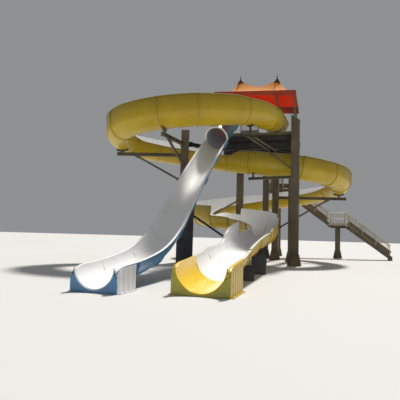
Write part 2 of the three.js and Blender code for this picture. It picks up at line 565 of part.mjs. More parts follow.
// ------------------------------------------------------------- other supports
add('tie_beam', bar(V(-0.66, 25.3, 7.02), T(-4.85, 0.35, 7.2), 0.18, 0.22), LOOKS.dark);
add('front_run_struts', fuse([
  bar(T(-0.95, -0.02, 6.95), V(2.85, 24.1, 7.38), 0.09, 0.09),
  bar(T(-1.35, -0.02, 6.95), V(2.45, 23.9, 7.36), 0.09, 0.09),
  bar(V(2.25, 23.83, 7.34), V(3.05, 24.19, 7.37), 0.09, 0.12),
]), LOOKS.dark);
add('final_turn_strut', bar(V(-0.30, 25.2, 2.74), V(3.38, 25.5, 0.36), 0.1, 0.12), LOOKS.dark);
// concrete piers under the final turn and run
add('final_turn_pier', block(3.45, 4.0, 25.3, 25.85, 0, 1.40), LOOKS.pier);
add('run_pier_upper', block(2.4, 3.0, 19.1, 19.65, 0, 0.88), LOOKS.pier);
add('run_pier_lower', block(1.66, 2.12, 16.2, 16.65, 0, 0.56), LOOKS.pier);

// -------------------------------------------------------------------- stairs
// one straight flight between two levels with its stringers and both guards;
// s runs up the flight, c0 and c1 are its two sides
function flight(dir, s0, s1, c0, c1, z0, z1, foot) {
  const n = Math.round((z1 - z0) / 0.2), rise = (z1 - z0) / n, run = (s1 - s0) / n;
  const put = (sa, sb, za, zb) => dir === 'p' ? block(sa, sb, c0 + 0.03, c1 - 0.03, za, zb) : block(c0 + 0.03, c1 - 0.03, sa, sb, za, zb);
  const at = (s, c, z) => dir === 'p' ? V(s, c, z) : V(c, s, z);
  const list = [];
  for (let i = 1; i < n; i++) {
    const s = s0 + run * (i - 0.5), z = z0 + rise * i;
    list.push(put(s - Math.abs(run) * 0.52, s + Math.abs(run) * 0.52, z - 0.05, z));
  }
  for (const c of [c0, c1]) {
    const e = c === c0 ? 0.03 : -0.03;
    list.push(bar(at(s0 + run * 0.35, c + e, z0 + 0.10), at(s1 - run * 0.05, c + e, z1 - 0.12), 0.06, 0.26));
    if (foot) list.push(block(s0 + run * 0.5 - 0.12, s0 + run * 0.5 + 0.12, c + e - 0.06, c + e + 0.06, 0, z0 + 0.15));
    for (const g of guardBars(at(s0 + run * 0.6, c + e, z0 + 0.14), at(s1 - run * 0.3, c + e, z1 - 0.06), 1.0, 1.5, true, 0.02)) list.push(g);
  }
  return turned(fuse(list));
}
const ST_Q0 = 12.35, ST_Q1 = 13.45;
add('stair_flight_lower', flight('p', 7.42, 3.86, ST_Q0 + 0.03, ST_Q1 - 0.03, 0.1, LAND1_Z, true), LOOKS.steel);
add('stair_flight_middle', flight('p', 2.43, -0.99, ST_Q0 + 0.03, ST_Q1 - 0.03, LAND1_Z, LAND2_Z), LOOKS.steel);
add('stair_flight_upper', flight('q', 12.0, WALK_Q + 0.11, -2.52, -1.48, LAND2_Z, DECK_Z), LOOKS.steel);
// landings on one column each, with guards on their open sides
const L1 = (p, q) => V(p, q, LAND1_Z), L2 = (p, q) => V(p, q, LAND2_Z);
add('stair_landing_lower', turned(fuse([
  block(2.45, 3.75, ST_Q0 - 0.1, ST_Q1 + 0.1, LAND1_Z - 0.22, LAND1_Z),
  column(3.1, 12.9, LAND1_Z - 0.1, 0.42),
  ...guardBars(L1(2.47, ST_Q0 - 0.06), L1(3.73, ST_Q0 - 0.06), 1.07, 1.3, false, 0.03),
  ...guardBars(L1(2.47, ST_Q1 + 0.06), L1(3.73, ST_Q1 + 0.06), 1.07, 1.3, false, 0.03),
])), LOOKS.steel);
add('stair_landing_upper', turned(fuse([
  block(-2.9, -1.1, 12.02, 13.55, LAND2_Z - 0.22, LAND2_Z),
  column(-2.0, 12.9, LAND2_Z - 0.1, 0.42),
  ...guardBars(L2(-1.13, 13.51), L2(-2.86, 13.51), 1.07, 1.3, false, 0.03),
  ...guardBars(L2(-2.86, 13.51), L2(-2.86, 12.05), 1.07, 1.3, false, 0.03),
])), LOOKS.steel);

export default group;
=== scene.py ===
import math
import random

import bpy
import numpy as np
from mathutils import Matrix, Vector


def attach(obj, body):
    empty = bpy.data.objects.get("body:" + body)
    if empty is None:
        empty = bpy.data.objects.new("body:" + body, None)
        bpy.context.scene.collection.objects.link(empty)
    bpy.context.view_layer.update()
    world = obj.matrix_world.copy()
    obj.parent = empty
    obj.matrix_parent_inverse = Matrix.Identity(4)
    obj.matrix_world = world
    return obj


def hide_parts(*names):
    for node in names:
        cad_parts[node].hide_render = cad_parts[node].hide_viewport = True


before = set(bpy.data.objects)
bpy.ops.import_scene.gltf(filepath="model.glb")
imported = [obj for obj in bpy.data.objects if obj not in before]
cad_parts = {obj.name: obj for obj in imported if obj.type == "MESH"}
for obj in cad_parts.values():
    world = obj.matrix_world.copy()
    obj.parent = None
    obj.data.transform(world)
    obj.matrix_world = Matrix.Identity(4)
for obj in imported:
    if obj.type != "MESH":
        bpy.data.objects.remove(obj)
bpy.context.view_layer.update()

# ------------------------------------------------------------------ dimensions
# metres, the row's frame; the layout frame is moved by SX, SY as in the part
SX, SY = -5.35704, -25.57143
YW, WW = 1.44, 1.18            # inside widths of the two channels
SHELL = 0.035                  # channel shell
LIP = 0.06                     # rolled rim, outwards
LIP_D = 0.05                   # depth of the rim's edge
DECK_Z = 8.12
WALK_Q = 8.9
LAND1_Z, LAND2_Z = 2.83, 5.55
DECK_W, DECK_R, DECK_D = 4.75, 0.25, 4.3
CAN_W, CAN_D, CAN_Q0, CAN_P0 = 4.9, 3.55, -0.75, -4.65
EAVE_Z, PEAK_Z = 10.48, 11.82
CAN_SKEW = 0.11
ST_Q0, ST_Q1 = 12.35, 13.45
TUBE_H = 1.3

TURN = math.radians(16)
E1 = np.array([math.cos(TURN), -math.sin(TURN), 0.0])
E2 = np.array([math.sin(TURN), math.cos(TURN), 0.0])
CORNER = np.array([5.5 + SX, 25.9 + SY, 0.0])
UP = np.array([0.0, 0.0, 1.0])


def T(p, q, z):
    """tower frame: p to the right along the deck's front, q back from it"""
    return CORNER + E1 * p + E2 * q + UP * z


def W(x, y, z):
    """layout frame"""
    return np.array([x + SX, y + SY, z])


def unit(v):
    v = np.asarray(v, float)
    return v / max(1e-12, np.linalg.norm(v))


# ---------------------------------------------------------------- mesh builder
class Mesh:
    """Collects vertices and faces of one object."""

    def __init__(self):
        self.v, self.f, self.m, self.n = [], [], [], 0
        self.uv = []

    def add(self, verts, faces, mat=0, uv=None):
        verts = np.asarray(verts, float).reshape(-1, 3)
        base = self.n
        self.v.append(verts)
        self.n += len(verts)
        for i, f in enumerate(faces):
            self.f.append(tuple(base + k for k in f))
            self.m.append(mat[i] if isinstance(mat, (list, np.ndarray)) else mat)
        self.uv.append(np.asarray(uv, float).reshape(-1, 2) if uv is not None else np.zeros((len(verts), 2)))

    def obj(self, name, mats, sharp=35.0, smooth=True):
        me = bpy.data.meshes.new(name)
        co = np.concatenate(self.v)
        me.from_pydata(co.tolist(), [], self.f)
        me.polygons.foreach_set("material_index", np.array(self.m, np.int32))
        for k in mats:
            me.materials.append(k)
        uvs = np.concatenate(self.uv)
        layer = me.uv_layers.new(name="UVMap")
        idx = np.zeros(len(me.loops), np.int32)
        me.loops.foreach_get("vertex_index", idx)
        layer.data.foreach_set("uv", uvs[idx].astype(np.float32).ravel())
        me.polygons.foreach_set("use_smooth", np.ones(len(me.polygons), bool) if smooth else np.zeros(len(me.polygons), bool))
        me.validate()
        me.update()
        if smooth:
            me.set_sharp_from_angle(angle=math.radians(sharp))
        ob = bpy.data.objects.new(name, me)
        bpy.context.scene.collection.objects.link(ob)
        return ob

    # -- solids -------------------------------------------------------------
    def frame_box(self, c, ax, half, bev=0.004, mat=0):
        """box with bevelled edges; ax are its three unit axes"""
        c = np.asarray(c, float)
        ax = np.asarray(ax, float)
        h = np.asarray(half, float)
        b = min(bev, h.min() * 0.45)
        vs, index = [], {}
        for k in range(3):
            for sx in (-1, 1):
                for sy in (-1, 1):
                    for sz in (-1, 1):
                        s = np.array([sx, sy, sz], float)
                        p = s * (h - b)
                        p[k] = s[k] * h[k]
                        index[(k, sx, sy, sz)] = len(vs)
                        vs.append(c + p @ ax)
        fs = []
        I = index
        for k in range(3):
            for s in (-1, 1):
                o = [a for a in range(3) if a != k]
                quad = []
                for (a, b_) in ((-1, -1), (1, -1), (1, 1), (-1, 1)):
                    t = [0, 0, 0]
                    t[k] = s
                    t[o[0]] = a
                    t[o[1]] = b_
                    quad.append(I[(k, *t)])
                flip = (s < 0) ^ (k == 1)
                fs.append(quad[::-1] if flip else quad)
        for k in range(3):  # edges along axis k
            o = [a for a in range(3) if a != k]
            for a in (-1, 1):
                for b_ in (-1, 1):
                    t0, t1 = [0, 0, 0], [0, 0, 0]
                    t0[k], t1[k] = -1, 1
                    t0[o[0]] = t1[o[0]] = a
                    t0[o[1]] = t1[o[1]] = b_
                    q = [I[(o[0], *t0)], I[(o[0], *t1)], I[(o[1], *t1)], I[(o[1], *t0)]]
                    fs.append(q)
        for sx in (-1, 1):
            for sy in (-1, 1):
                for sz in (-1, 1):
                    fs.append([I[(0, sx, sy, sz)], I[(1, sx, sy, sz)], I[(2, sx, sy, sz)]])
        vs = np.array(vs)
        out = []
        for f in fs:
            p = vs[f]
            nrm = np.cross(p[1] - p[0], p[2] - p[0])
            if len(f) == 4:
                nrm = np.cross(p[2] - p[0], p[3] - p[1])
            if nrm @ (p.mean(0) - c) < 0:
                f = f[::-1]
            out.append(f)
        self.add(vs, out, mat)

    def box(self, lo, hi, bev=0.004, mat=0, turned=False):
        lo, hi = np.minimum(lo, hi), np.maximum(lo, hi)
        c, h = (lo + hi) / 2, (hi - lo) / 2
        if turned:
            self.frame_box(T(c[0], c[1], c[2]), (E1, E2, UP), h, bev, mat)
        else:
            self.frame_box(c, np.eye(3), h, bev, mat)

    def axes(self, a, b, up=None):
        t = unit(np.asarray(b) - np.asarray(a))
        if up is None:
            s = np.array([1.0, 0, 0]) if abs(t[2]) > 0.999 else unit([t[1], -t[0], 0])
            u = unit(np.cross(s, t))
        else:
            s = unit(np.cross(t, up))
            u = unit(np.cross(s, t))
        return s, t, u

    def bar(self, a, b, w, h=None, bev=0.006, mat=0, up=None):
        """square bar from a to b, w across and h upright"""
        h = w if h is None else h
        a, b = np.asarray(a, float), np.asarray(b, float)
        s, t, u = self.axes(a, b, up)
        self.frame_box((a + b) / 2, (s, t, u), (w / 2, np.linalg.norm(b - a) / 2, h / 2), bev, mat)

    def prism(self, a, b, sec, mat=0, up=None):
        """a closed 2-D section (anticlockwise, x along side, y along up) swept from a to b"""
        a, b = np.asarray(a, float), np.asarray(b, float)
        s, t, u = self.axes(a, b, up)
        sec = np.asarray(sec, float)
        n = len(sec)
        ring = sec[:, :1] * s + sec[:, 1:] * u
        vs = np.concatenate([a + ring, b + ring])
        fs = [[i, (i + 1) % n, n + (i + 1) % n, n + i] for i in range(n)]
        fs.append(list(range(n))[::-1])
        fs.append([n + i for i in range(n)])
        p = vs[fs[0]]
        nrm = np.cross(p[2] - p[0], p[3] - p[1])
        e = sec[1] - sec[0]
        outw = e[1] * s - e[0] * u
        if nrm @ outw < 0:
            fs = [f[::-1] for f in fs]
        self.add(vs, fs, mat)

    def ibeam(self, a, b, w, h, tf=0.014, tw=0.010, mat=0, up=None):
        x, y, k = w / 2, h / 2, tw / 2
        r = min(0.012, (x - k) * 0.5)
        sec = [(-x, -y), (x, -y), (x, -y + tf), (k + r, -y + tf), (k, -y + tf + r), (k, y - tf - r), (k + r, y - tf), (x, y - tf),
               (x, y), (-x, y), (-x, y - tf), (-k - r, y - tf), (-k, y - tf - r), (-k, -y + tf + r), (-k - r, -y + tf), (-x, -y + tf)]
        self.prism(a, b, sec, mat, up)

    def channel_bar(self, a, b, w, h, t=0.010, mat=0, up=None, flip=1):
        """U-shaped steel channel, web on one side"""
        x, y = w / 2, h / 2
        sec = [(-x, -y), (x, -y), (x, -y + t), (-x + t, -y + t), (-x + t, y - t), (x, y - t), (x, y), (-x, y)]
        if flip < 0:
            sec = [(-p, q) for p, q in sec][::-1]
        self.prism(a, b, sec, mat, up)

    def tube(self, pts, r, n=10, mat=0, closed=False, caps=True, radii=None):
        """round bar along points, with mitred rings"""
        pts = np.asarray(pts, float)
        m = len(pts)
        tang = np.zeros_like(pts)
        for i in range(m):
            if closed:
                tang[i] = unit(unit(pts[(i + 1) % m] - pts[i]) + unit(pts[i] - pts[i - 1]))
            elif i == 0:
                tang[i] = unit(pts[1] - pts[0])
            elif i == m - 1:
                tang[i] = unit(pts[-1] - pts[-2])
            else:
                tang[i] = unit(unit(pts[i + 1] - pts[i]) + unit(pts[i] - pts[i - 1]))
        ref = np.array([0, 0, 1.0]) if abs(tang[0][2]) < 0.9 else np.array([1.0, 0, 0])
        s = unit(np.cross(tang[0], ref))
        vs = []
        for i in range(m):
            s = unit(s - tang[i] * (s @ tang[i]))
            u = np.cross(s, tang[i])
            rr = r if radii is None else radii[i]
            if 0 < i < m - 1 or closed:
                c = max(0.5, unit(pts[i] - pts[i - 1]) @ tang[i])
            else:
                c = 1.0
            for k in range(n):
                ang = 2 * math.pi * k / n
                d = s * math.cos(ang) + u * math.sin(ang)
                vs.append(pts[i] + d * rr / (c if c > 0 else 1) * (1.0))
        fs = []
        for i in range(m if closed else m - 1):
            for k in range(n):
                a, b = i * n + k, i * n + (k + 1) % n
                c, d = ((i + 1) % m) * n + (k + 1) % n, ((i + 1) % m) * n + k
                fs.append([a, d, c, b])
        if caps and not closed:
            fs.append([k for k in range(n)])
            fs.append([(m - 1) * n + k for k in range(n)][::-1])
        vs = np.array(vs)
        p = vs[fs[0]]
        nrm = np.cross(p[2] - p[0], p[3] - p[1])
        if nrm @ (p.mean(0) - (pts[0] + pts[1]) / 2) < 0:
            fs = [f[::-1] for f in fs]
        self.add(vs, fs, mat)

    def rod(self, a, b, r, n=10, mat=0, bev=0.0):
        a, b = np.asarray(a, float), np.asarray(b, float)
        if bev:
            t = unit(b - a)
            self.tube([a, a + t * bev, b - t * bev, b], r, n, mat, radii=[r - bev, r, r, r - bev])
        else:
            self.tube([a, b], r, n, mat)

    def hexhead(self, p, d, r=0.016, h=0.012, mat=0):
        """bolt head with a washer, standing on p along d"""
        p, d = np.asarray(p, float), unit(d)
        ref = np.array([0, 0, 1.0]) if abs(d[2]) < 0.9 else np.array([1.0, 0, 0])
        s = unit(np.cross(d, ref))
        u = np.cross(d, s)
        rings = []
        for (rr, z, n) in ((r * 1.35, 0.0, 6), (r * 1.35, h * 0.18, 6), (r, h * 0.2, 6), (r, h * 0.85, 6), (r * 0.82, h, 6)):
            rings.append([p + d * z + (s * math.cos(k * math.pi / 3) + u * math.sin(k * math.pi / 3)) * rr for k in range(6)])
        vs = np.array([q for ring in rings for q in ring])
        fs = []
        for i in range(len(rings) - 1):
            for k in range(6):
                fs.append([i * 6 + k, i * 6 + (k + 1) % 6, (i + 1) * 6 + (k + 1) % 6, (i + 1) * 6 + k])
        fs.append([(len(rings) - 1) * 6 + k for k in range(6)])
        fs.append([k for k in range(6)][::-1])
        self.add(vs, fs, mat)

    def plate(self, poly, d, mat=0):
        """flat polygon (3-D points, convex or simple) made thick along vector d"""
        poly = np.asarray(poly, float)
        d = np.asarray(d, float)
        n = len(poly)
        vs = np.concatenate([poly, poly + d])
        nrm = np.zeros(3)
        for i in range(n):
            nrm += np.cross(poly[i], poly[(i + 1) % n])
        fs = [[i, (i + 1) % n, n + (i + 1) % n, n + i] for i in range(n)]
        fs.append(list(range(n))[::-1])
        fs.append([n + i for i in range(n)])
        if nrm @ d < 0:
            fs = [f[::-1] for f in fs]
        self.add(vs, fs, mat)


# ------------------------------------------------------------------- materials
def node(nt, kind, **kw):
    n = nt.nodes.new(kind)
    for k, v in kw.items():
        setattr(n, k, v)
    return n


class Mat:
    """small helper that wires a Principled material"""

    def __init__(self, name, rough=0.5, metallic=0.0, coat=0.0, coat_rough=0.1, spec=0.5):
        self.m = bpy.data.materials.new(name)
        self.m.use_nodes = True
        self.nt = self.m.node_tree
        self.b = self.nt.nodes["Principled BSDF"]
        self.b.inputs["Roughness"].default_value = rough
        self.b.inputs["Metallic"].default_value = metallic
        self.b.inputs["Coat Weight"].default_value = coat
        self.b.inputs["Coat Roughness"].default_value = coat_rough
        self.b.inputs["Specular IOR Level"].default_value = spec
        self.coord = node(self.nt, "ShaderNodeTexCoord")
        self.geo = node(self.nt, "ShaderNodeNewGeometry")

    def link(self, a, b):
        self.nt.links.new(a, b)

    def mapped(self, out="Object", scale=(1, 1, 1), rot=(0, 0, 0)):
        mp = node(self.nt, "ShaderNodeMapping")
        mp.inputs["Scale"].default_value = scale
        mp.inputs["Rotation"].default_value = rot
        self.link(self.coord.outputs[out], mp.inputs["Vector"])
        return mp.outputs["Vector"]

    def noise(self, vec, scale=5.0, detail=4.0, rough=0.55, dist=0.0):
        n = node(self.nt, "ShaderNodeTexNoise")
        n.inputs["Scale"].default_value = scale
        n.inputs["Detail"].default_value = detail
        n.inputs["Roughness"].default_value = rough
        n.inputs["Distortion"].default_value = dist
        self.link(vec, n.inputs["Vector"])
        return n.outputs["Fac"]

    def ramp(self, fac, stops):
        r = node(self.nt, "ShaderNodeValToRGB")
        el = r.color_ramp.elements
        while len(el) > len(stops):
            el.remove(el[-1])
        while len(el) < len(stops):
            el.new(1.0)
        for e, (p, c) in zip(el, stops):
            e.position = p
            e.color = (*c, 1.0) if len(c) == 3 else c
        self.link(fac, r.inputs["Fac"])
        return r.outputs["Color"]

    def grey(self, fac, a, b, lo=0.0, hi=1.0):
        return self.ramp(fac, [(a, (lo, lo, lo)), (b, (hi, hi, hi))])

    def mix(self, fac, a, b, mode="MIX"):
        n = node(self.nt, "ShaderNodeMix", data_type="RGBA", blend_type=mode)
        for sock, val in (("Factor", fac), ("A", a), ("B", b)):
            s = [i for i in n.inputs if i.name == sock and (i.type == "RGBA" or sock == "Factor" and i.type == "VALUE")][0]
            if hasattr(val, "is_output"):
                self.link(val, s)
            elif sock == "Factor":
                s.default_value = val
            else:
                s.default_value = (*val, 1.0)
        return [o for o in n.outputs if o.type == "RGBA"][0]

    def math(self, op, a, b=None, c=None, clamp=False):
        n = node(self.nt, "ShaderNodeMath", operation=op, use_clamp=clamp)
        for i, v in enumerate((a, b, c)):
            if v is None:
                continue
            if hasattr(v, "is_output"):
                self.link(v, n.inputs[i])
            else:
                n.inputs[i].default_value = v
        return n.outputs[0]

    def bump(self, height, strength=0.2, dist=0.01, chain=None):
        n = node(self.nt, "ShaderNodeBump")
        n.inputs["Strength"].default_value = strength
        n.inputs["Distance"].default_value = dist
        self.link(height, n.inputs["Height"])
        if chain is not None:
            self.link(chain, n.inputs["Normal"])
        return n.outputs["Normal"]

    def color(self, out):
        self.link(out, self.b.inputs["Base Color"])

    def rough(self, out):
        self.link(out, self.b.inputs["Roughness"])

    def normal(self, out):
        self.link(out, self.b.inputs["Normal"])

    def xyz(self, out="Object"):
        n = node(self.nt, "ShaderNodeSeparateXYZ")
        self.link(self.coord.outputs[out], n.inputs[0])
        return n.outputs[0], n.outputs[1], n.outputs[2]


def srgb(r, g, b):
    def f(c):
        c /= 255.0
        return c / 12.92 if c <= 0.04045 else ((c + 0.055) / 1.055) ** 2.4
    return (f(r), f(g), f(b))


def gelcoat(name, base, deep, pale, rough=0.26, coat=0.35, grime_and_shade_colour=(0.16, 0.12, 0.06), grime_amt=0.35, streak=0.5, chalk=0.25, coat_rough=0.12, peel=1.0, painted_rim_shade=0.0):
    """fibreglass gelcoat: mottled colour, water streaks down the wall, faint orange peel; when set, painted shade that
    darkens the wall towards the rim
    """
    m = Mat(name, rough=rough, coat=coat, coat_rough=coat_rough)
    pos = m.mapped("Object")
    big = m.noise(pos, 0.55, 3, 0.6)
    c = m.ramp(big, [(0.25, deep), (0.5, base), (0.78, pale)])
    # streaks follow the fall of water down the outside: fine along the run, long around the wall
    uv = m.mapped("UV", scale=(9.0, 0.55, 1.0))
    st = m.noise(uv, 1.0, 5, 0.62, 0.3)
    stm = m.grey(st, 0.50, 0.74, 0.0, streak)
    fine = m.noise(pos, 14.0, 5, 0.65)
    grm = m.math("MULTIPLY", stm, m.grey(fine, 0.3, 0.7, 0.3, 1.0))
    c = m.mix(m.math("MULTIPLY", grm, grime_amt), c, grime_and_shade_colour)
    ch = m.grey(m.noise(pos, 3.1, 6, 0.7), 0.55, 0.8, 0.0, chalk)
    c = m.mix(ch, c, pale)
    if painted_rim_shade:
        # painted shade: the wall is mixed towards the grime colour, darker towards the rim, standing for the shade on
        # the upper wall
        gx = node(m.nt, "ShaderNodeSeparateXYZ")
        m.link(m.mapped("UV"), gx.inputs[0])
        painted_shade_mask = m.grey(m.math("MULTIPLY", m.math("ABSOLUTE", gx.outputs[1]), 0.4), 0.36, 0.74, 0.0, painted_rim_shade)
        c = m.mix(painted_shade_mask, c, grime_and_shade_colour)
    m.color(c)
    m.rough(m.ramp(m.noise(pos, 6.0, 5, 0.6), [(0.3, (rough - 0.06,) * 3), (0.75, (rough + 0.18,) * 3)]))
    b1 = m.bump(m.noise(pos, 70.0, 2, 0.5), 0.10 * peel, 0.002)
    b2 = m.bump(m.noise(pos, 2.2, 3, 0.5), 0.16 * peel, 0.02, b1)
    m.normal(b2)
    return m.m


def painted(name, base, deep, pale, rough=0.5, metallic=0.0, rust=0.25, coat=0.0, bump=0.12):
    """painted steel: brushed coat, dust on upward faces, rust spots scattered by noise"""
    m = Mat(name, rough=rough, metallic=metallic, coat=coat)
    pos = m.mapped("Object")
    c = m.ramp(m.noise(pos, 1.7, 4, 0.6), [(0.28, deep), (0.52, base), (0.8, pale)])
    run = m.noise(m.mapped("Object", scale=(11.0, 11.0, 0.7)), 1.0, 5, 0.6)
    c = m.mix(m.grey(run, 0.52, 0.78, 0.0, 0.5), c, deep)
    # dust where the surface looks up
    nx = node(m.nt, "ShaderNodeSeparateXYZ")
    m.link(m.geo.outputs["Normal"], nx.inputs[0])
    upf = m.math("MULTIPLY", m.grey(nx.outputs[2], 0.5, 0.95), m.grey(m.noise(pos, 7.0, 5, 0.7), 0.35, 0.7, 0.1, 0.75))
    c = m.mix(upf, c, (pale[0] * 1.15 + 0.04, pale[1] * 1.12 + 0.035, pale[2] * 1.05 + 0.03))
    sp = m.grey(m.noise(pos, 9.0, 8, 0.75), 0.66, 0.74, 0.0, rust)
    c = m.mix(sp, c, srgb(112, 66, 36))
    m.color(c)
    m.rough(m.ramp(m.noise(pos, 12.0, 4, 0.6), [(0.3, (max(0.05, rough - 0.1),) * 3), (0.75, (min(1, rough + 0.18),) * 3)]))
    m.normal(m.bump(m.noise(pos, 55.0, 3, 0.55), bump, 0.003))
    return m.m


def concrete(name, base, deep, pale):
    m = Mat(name, rough=0.8)
    pos = m.mapped("Object")
    c = m.ramp(m.noise(pos, 1.3, 5, 0.65), [(0.25, deep), (0.5, base), (0.8, pale)])
    run = m.noise(m.mapped("Object", scale=(7.0, 7.0, 0.6)), 1.0, 5, 0.6)
    c = m.mix(m.grey(run, 0.5, 0.75, 0.0, 0.55), c, deep)
    x, y, z = m.xyz()
    foot = m.math("MULTIPLY", m.grey(m.math("MULTIPLY", z, 1.0), 0.0, 0.45, 0.55, 0.0), m.grey(m.noise(pos, 6.0, 5, 0.7), 0.35, 0.65))
    c = m.mix(foot, c, srgb(120, 110, 92))
    m.color(c)
    pores = m.noise(pos, 60.0, 4, 0.6)
    m.normal(m.bump(pores, 0.35, 0.004, m.bump(m.noise(pos, 9.0, 5, 0.6), 0.25, 0.012)))
    return m.m


def fabric(name, base, deep, pale, rough=0.85, trans=0.0):
    """woven shade cloth with a fine weave and slack folds"""
    m = Mat(name, rough=rough, spec=0.2)
    m.b.inputs["Sheen Weight"].default_value = 0.06
    pos = m.mapped("Object")
    c = m.ramp(m.noise(pos, 1.4, 4, 0.6), [(0.25, deep), (0.5, base), (0.8, pale)])
    wv = node(m.nt, "ShaderNodeTexWave", wave_type="BANDS", bands_direction="X")
    wv.inputs["Scale"].default_value = 60.0
    m.link(m.mapped("UV"), wv.inputs["Vector"])
    wv2 = node(m.nt, "ShaderNodeTexWave", wave_type="BANDS", bands_direction="Y")
    wv2.inputs["Scale"].default_value = 60.0
    m.link(m.mapped("UV"), wv2.inputs["Vector"])
    weave = m.math("MULTIPLY", wv.outputs["Fac"], wv2.outputs["Fac"])
    c = m.mix(m.math("MULTIPLY", weave, 0.18), c, deep)
    dirt = m.grey(m.noise(m.mapped("UV", scale=(2.2, 0.7, 1)), 1.0, 6, 0.7), 0.55, 0.8, 0.0, 0.35)
    c = m.mix(dirt, c, deep)
    m.color(c)
    m.normal(m.bump(weave, 0.25, 0.002, m.bump(m.noise(m.mapped("UV", scale=(3.0, 1.0, 1)), 1.0, 3, 0.5), 0.25, 0.02)))
    if trans:
        tr = node(m.nt, "ShaderNodeBsdfTranslucent")
        m.link(c, tr.inputs["Color"])
        mx = node(m.nt, "ShaderNodeMixShader")
        mx.inputs[0].default_value = trans
        out = [n for n in m.nt.nodes if n.type == "OUTPUT_MATERIAL"][0]
        m.link(m.b.outputs[0], mx.inputs[1])
        m.link(tr.outputs[0], mx.inputs[2])
        m.link(mx.outputs[0], out.inputs["Surface"])
    return m.m


def board(name, base, deep, pale, rough=0.75):
    """ribbed deck boards with trodden grit"""
    m = Mat(name, rough=rough)
    pos = m.mapped("Object", rot=(0, 0, TURN))
    c = m.ramp(m.noise(pos, 2.0, 5, 0.65), [(0.25, deep), (0.5, base), (0.8, pale)])
    c = m.mix(m.grey(m.noise(pos, 26.0, 6, 0.7), 0.55, 0.75, 0.0, 0.5), c, pale)
    m.color(c)
    m.normal(m.bump(m.noise(pos, 90.0, 3, 0.6), 0.4, 0.003))
    return m.m


# the outside yellow carries painted shade: its upper wall is darkened towards the rim with its grime colour
M_YEL = gelcoat("yellow_gelcoat_outside", srgb(198, 168, 22), srgb(184, 152, 14), srgb(206, 180, 32), rough=0.3, coat=0.10, grime_and_shade_colour=srgb(96, 86, 24), grime_amt=0.3, streak=0.4, chalk=0.06, painted_rim_shade=0.66)
M_YIN = gelcoat("yellow_gelcoat_inside", srgb(240, 204, 40), srgb(236, 190, 30), srgb(244, 214, 66), rough=0.24, grime_amt=0.06, streak=0.2, grime_and_shade_colour=srgb(200, 160, 44), chalk=0.08, peel=0.6)
M_WHT = gelcoat("white_gelcoat_inside", srgb(236, 236, 236), srgb(230, 230, 230), srgb(240, 240, 240), rough=0.58, coat=0.02, grime_and_shade_colour=srgb(206, 204, 196), grime_amt=0.05, streak=0.12, chalk=0.05, coat_rough=0.3, peel=0.6)
M_RIM = gelcoat("rim_gelcoat", srgb(240, 237, 222), srgb(232, 228, 208), srgb(247, 246, 238), rough=0.26, grime_and_shade_colour=srgb(176, 168, 136), grime_amt=0.2, streak=0.2, chalk=0.1)
M_WOUT = gelcoat("white_gelcoat_outside", srgb(232, 232, 236), srgb(222, 222, 228), srgb(240, 240, 242), rough=0.3, grime_and_shade_colour=srgb(180, 180, 180), grime_amt=0.12, streak=0.2, chalk=0.05)
M_BLU = gelcoat("blue_gelcoat_outside", srgb(78, 138, 188), srgb(64, 122, 174), srgb(104, 158, 200), grime_and_shade_colour=srgb(46, 70, 92), grime_amt=0.3, streak=0.3, chalk=0.12)
M_TEAL = gelcoat("teal_gelcoat_tube", srgb(60, 128, 152), srgb(48, 112, 138), srgb(92, 152, 170), grime_and_shade_colour=srgb(46, 76, 90), grime_amt=0.3, streak=0.3, chalk=0.12)
M_BORE = gelcoat("tube_bore_gelcoat", srgb(200, 206, 216), srgb(188, 194, 206), srgb(212, 216, 224), rough=0.6, coat=0.0, grime_and_shade_colour=srgb(70, 74, 84), grime_amt=0.3, streak=0.3, chalk=0.1)
M_STEEL = painted("steel_brown_paint", srgb(104, 92, 73), srgb(86, 76, 60), srgb(124, 112, 92), rough=0.5)
M_DARK = painted("steel_dark_paint", srgb(52, 48, 45), srgb(38, 35, 33), srgb(72, 67, 62), rough=0.46, rust=0.15)
M_RAIL = painted("rail_paint", srgb(190, 180, 156), srgb(168, 158, 134), srgb(208, 200, 178), rough=0.45, rust=0.2)
M_GRD = painted("guard_paint_grey", srgb(132, 124, 110), srgb(112, 104, 92), srgb(154, 146, 132), rough=0.45, rust=0.2)
M_GALV = painted("zinc_bolts", srgb(148, 150, 150), srgb(120, 122, 122), srgb(176, 178, 178), rough=0.38, metallic=0.7, rust=0.35)
M_SEAL = painted("joint_sealant", srgb(140, 138, 128), srgb(118, 116, 108), srgb(162, 160, 150), rough=0.8, rust=0.0)
M_PIER = concrete("dark_concrete", srgb(64, 64, 71), srgb(50, 50, 57), srgb(84, 84, 90))
M_DECK = board("deck_boards", srgb(122, 114, 96), srgb(96, 90, 76), srgb(146, 138, 118))
M_FASCIA = painted("deck_edge_paint", srgb(112, 106, 66), srgb(92, 86, 54), srgb(132, 126, 88), rough=0.5, rust=0.1)

# painted shade and painted reflection: the bulkhead plate is a darker, greener copy of the outside yellow, standing for
# shade and the green of the water reflected on it
M_YEL_PAINTED_SHADE_PLATE = gelcoat("yellow_bulkhead_painted_shade_gelcoat", srgb(170, 164, 44), srgb(150, 146, 34), srgb(188, 182, 66), grime_and_shade_colour=srgb(92, 100, 36), grime_amt=0.4, streak=0.5, chalk=0.15)
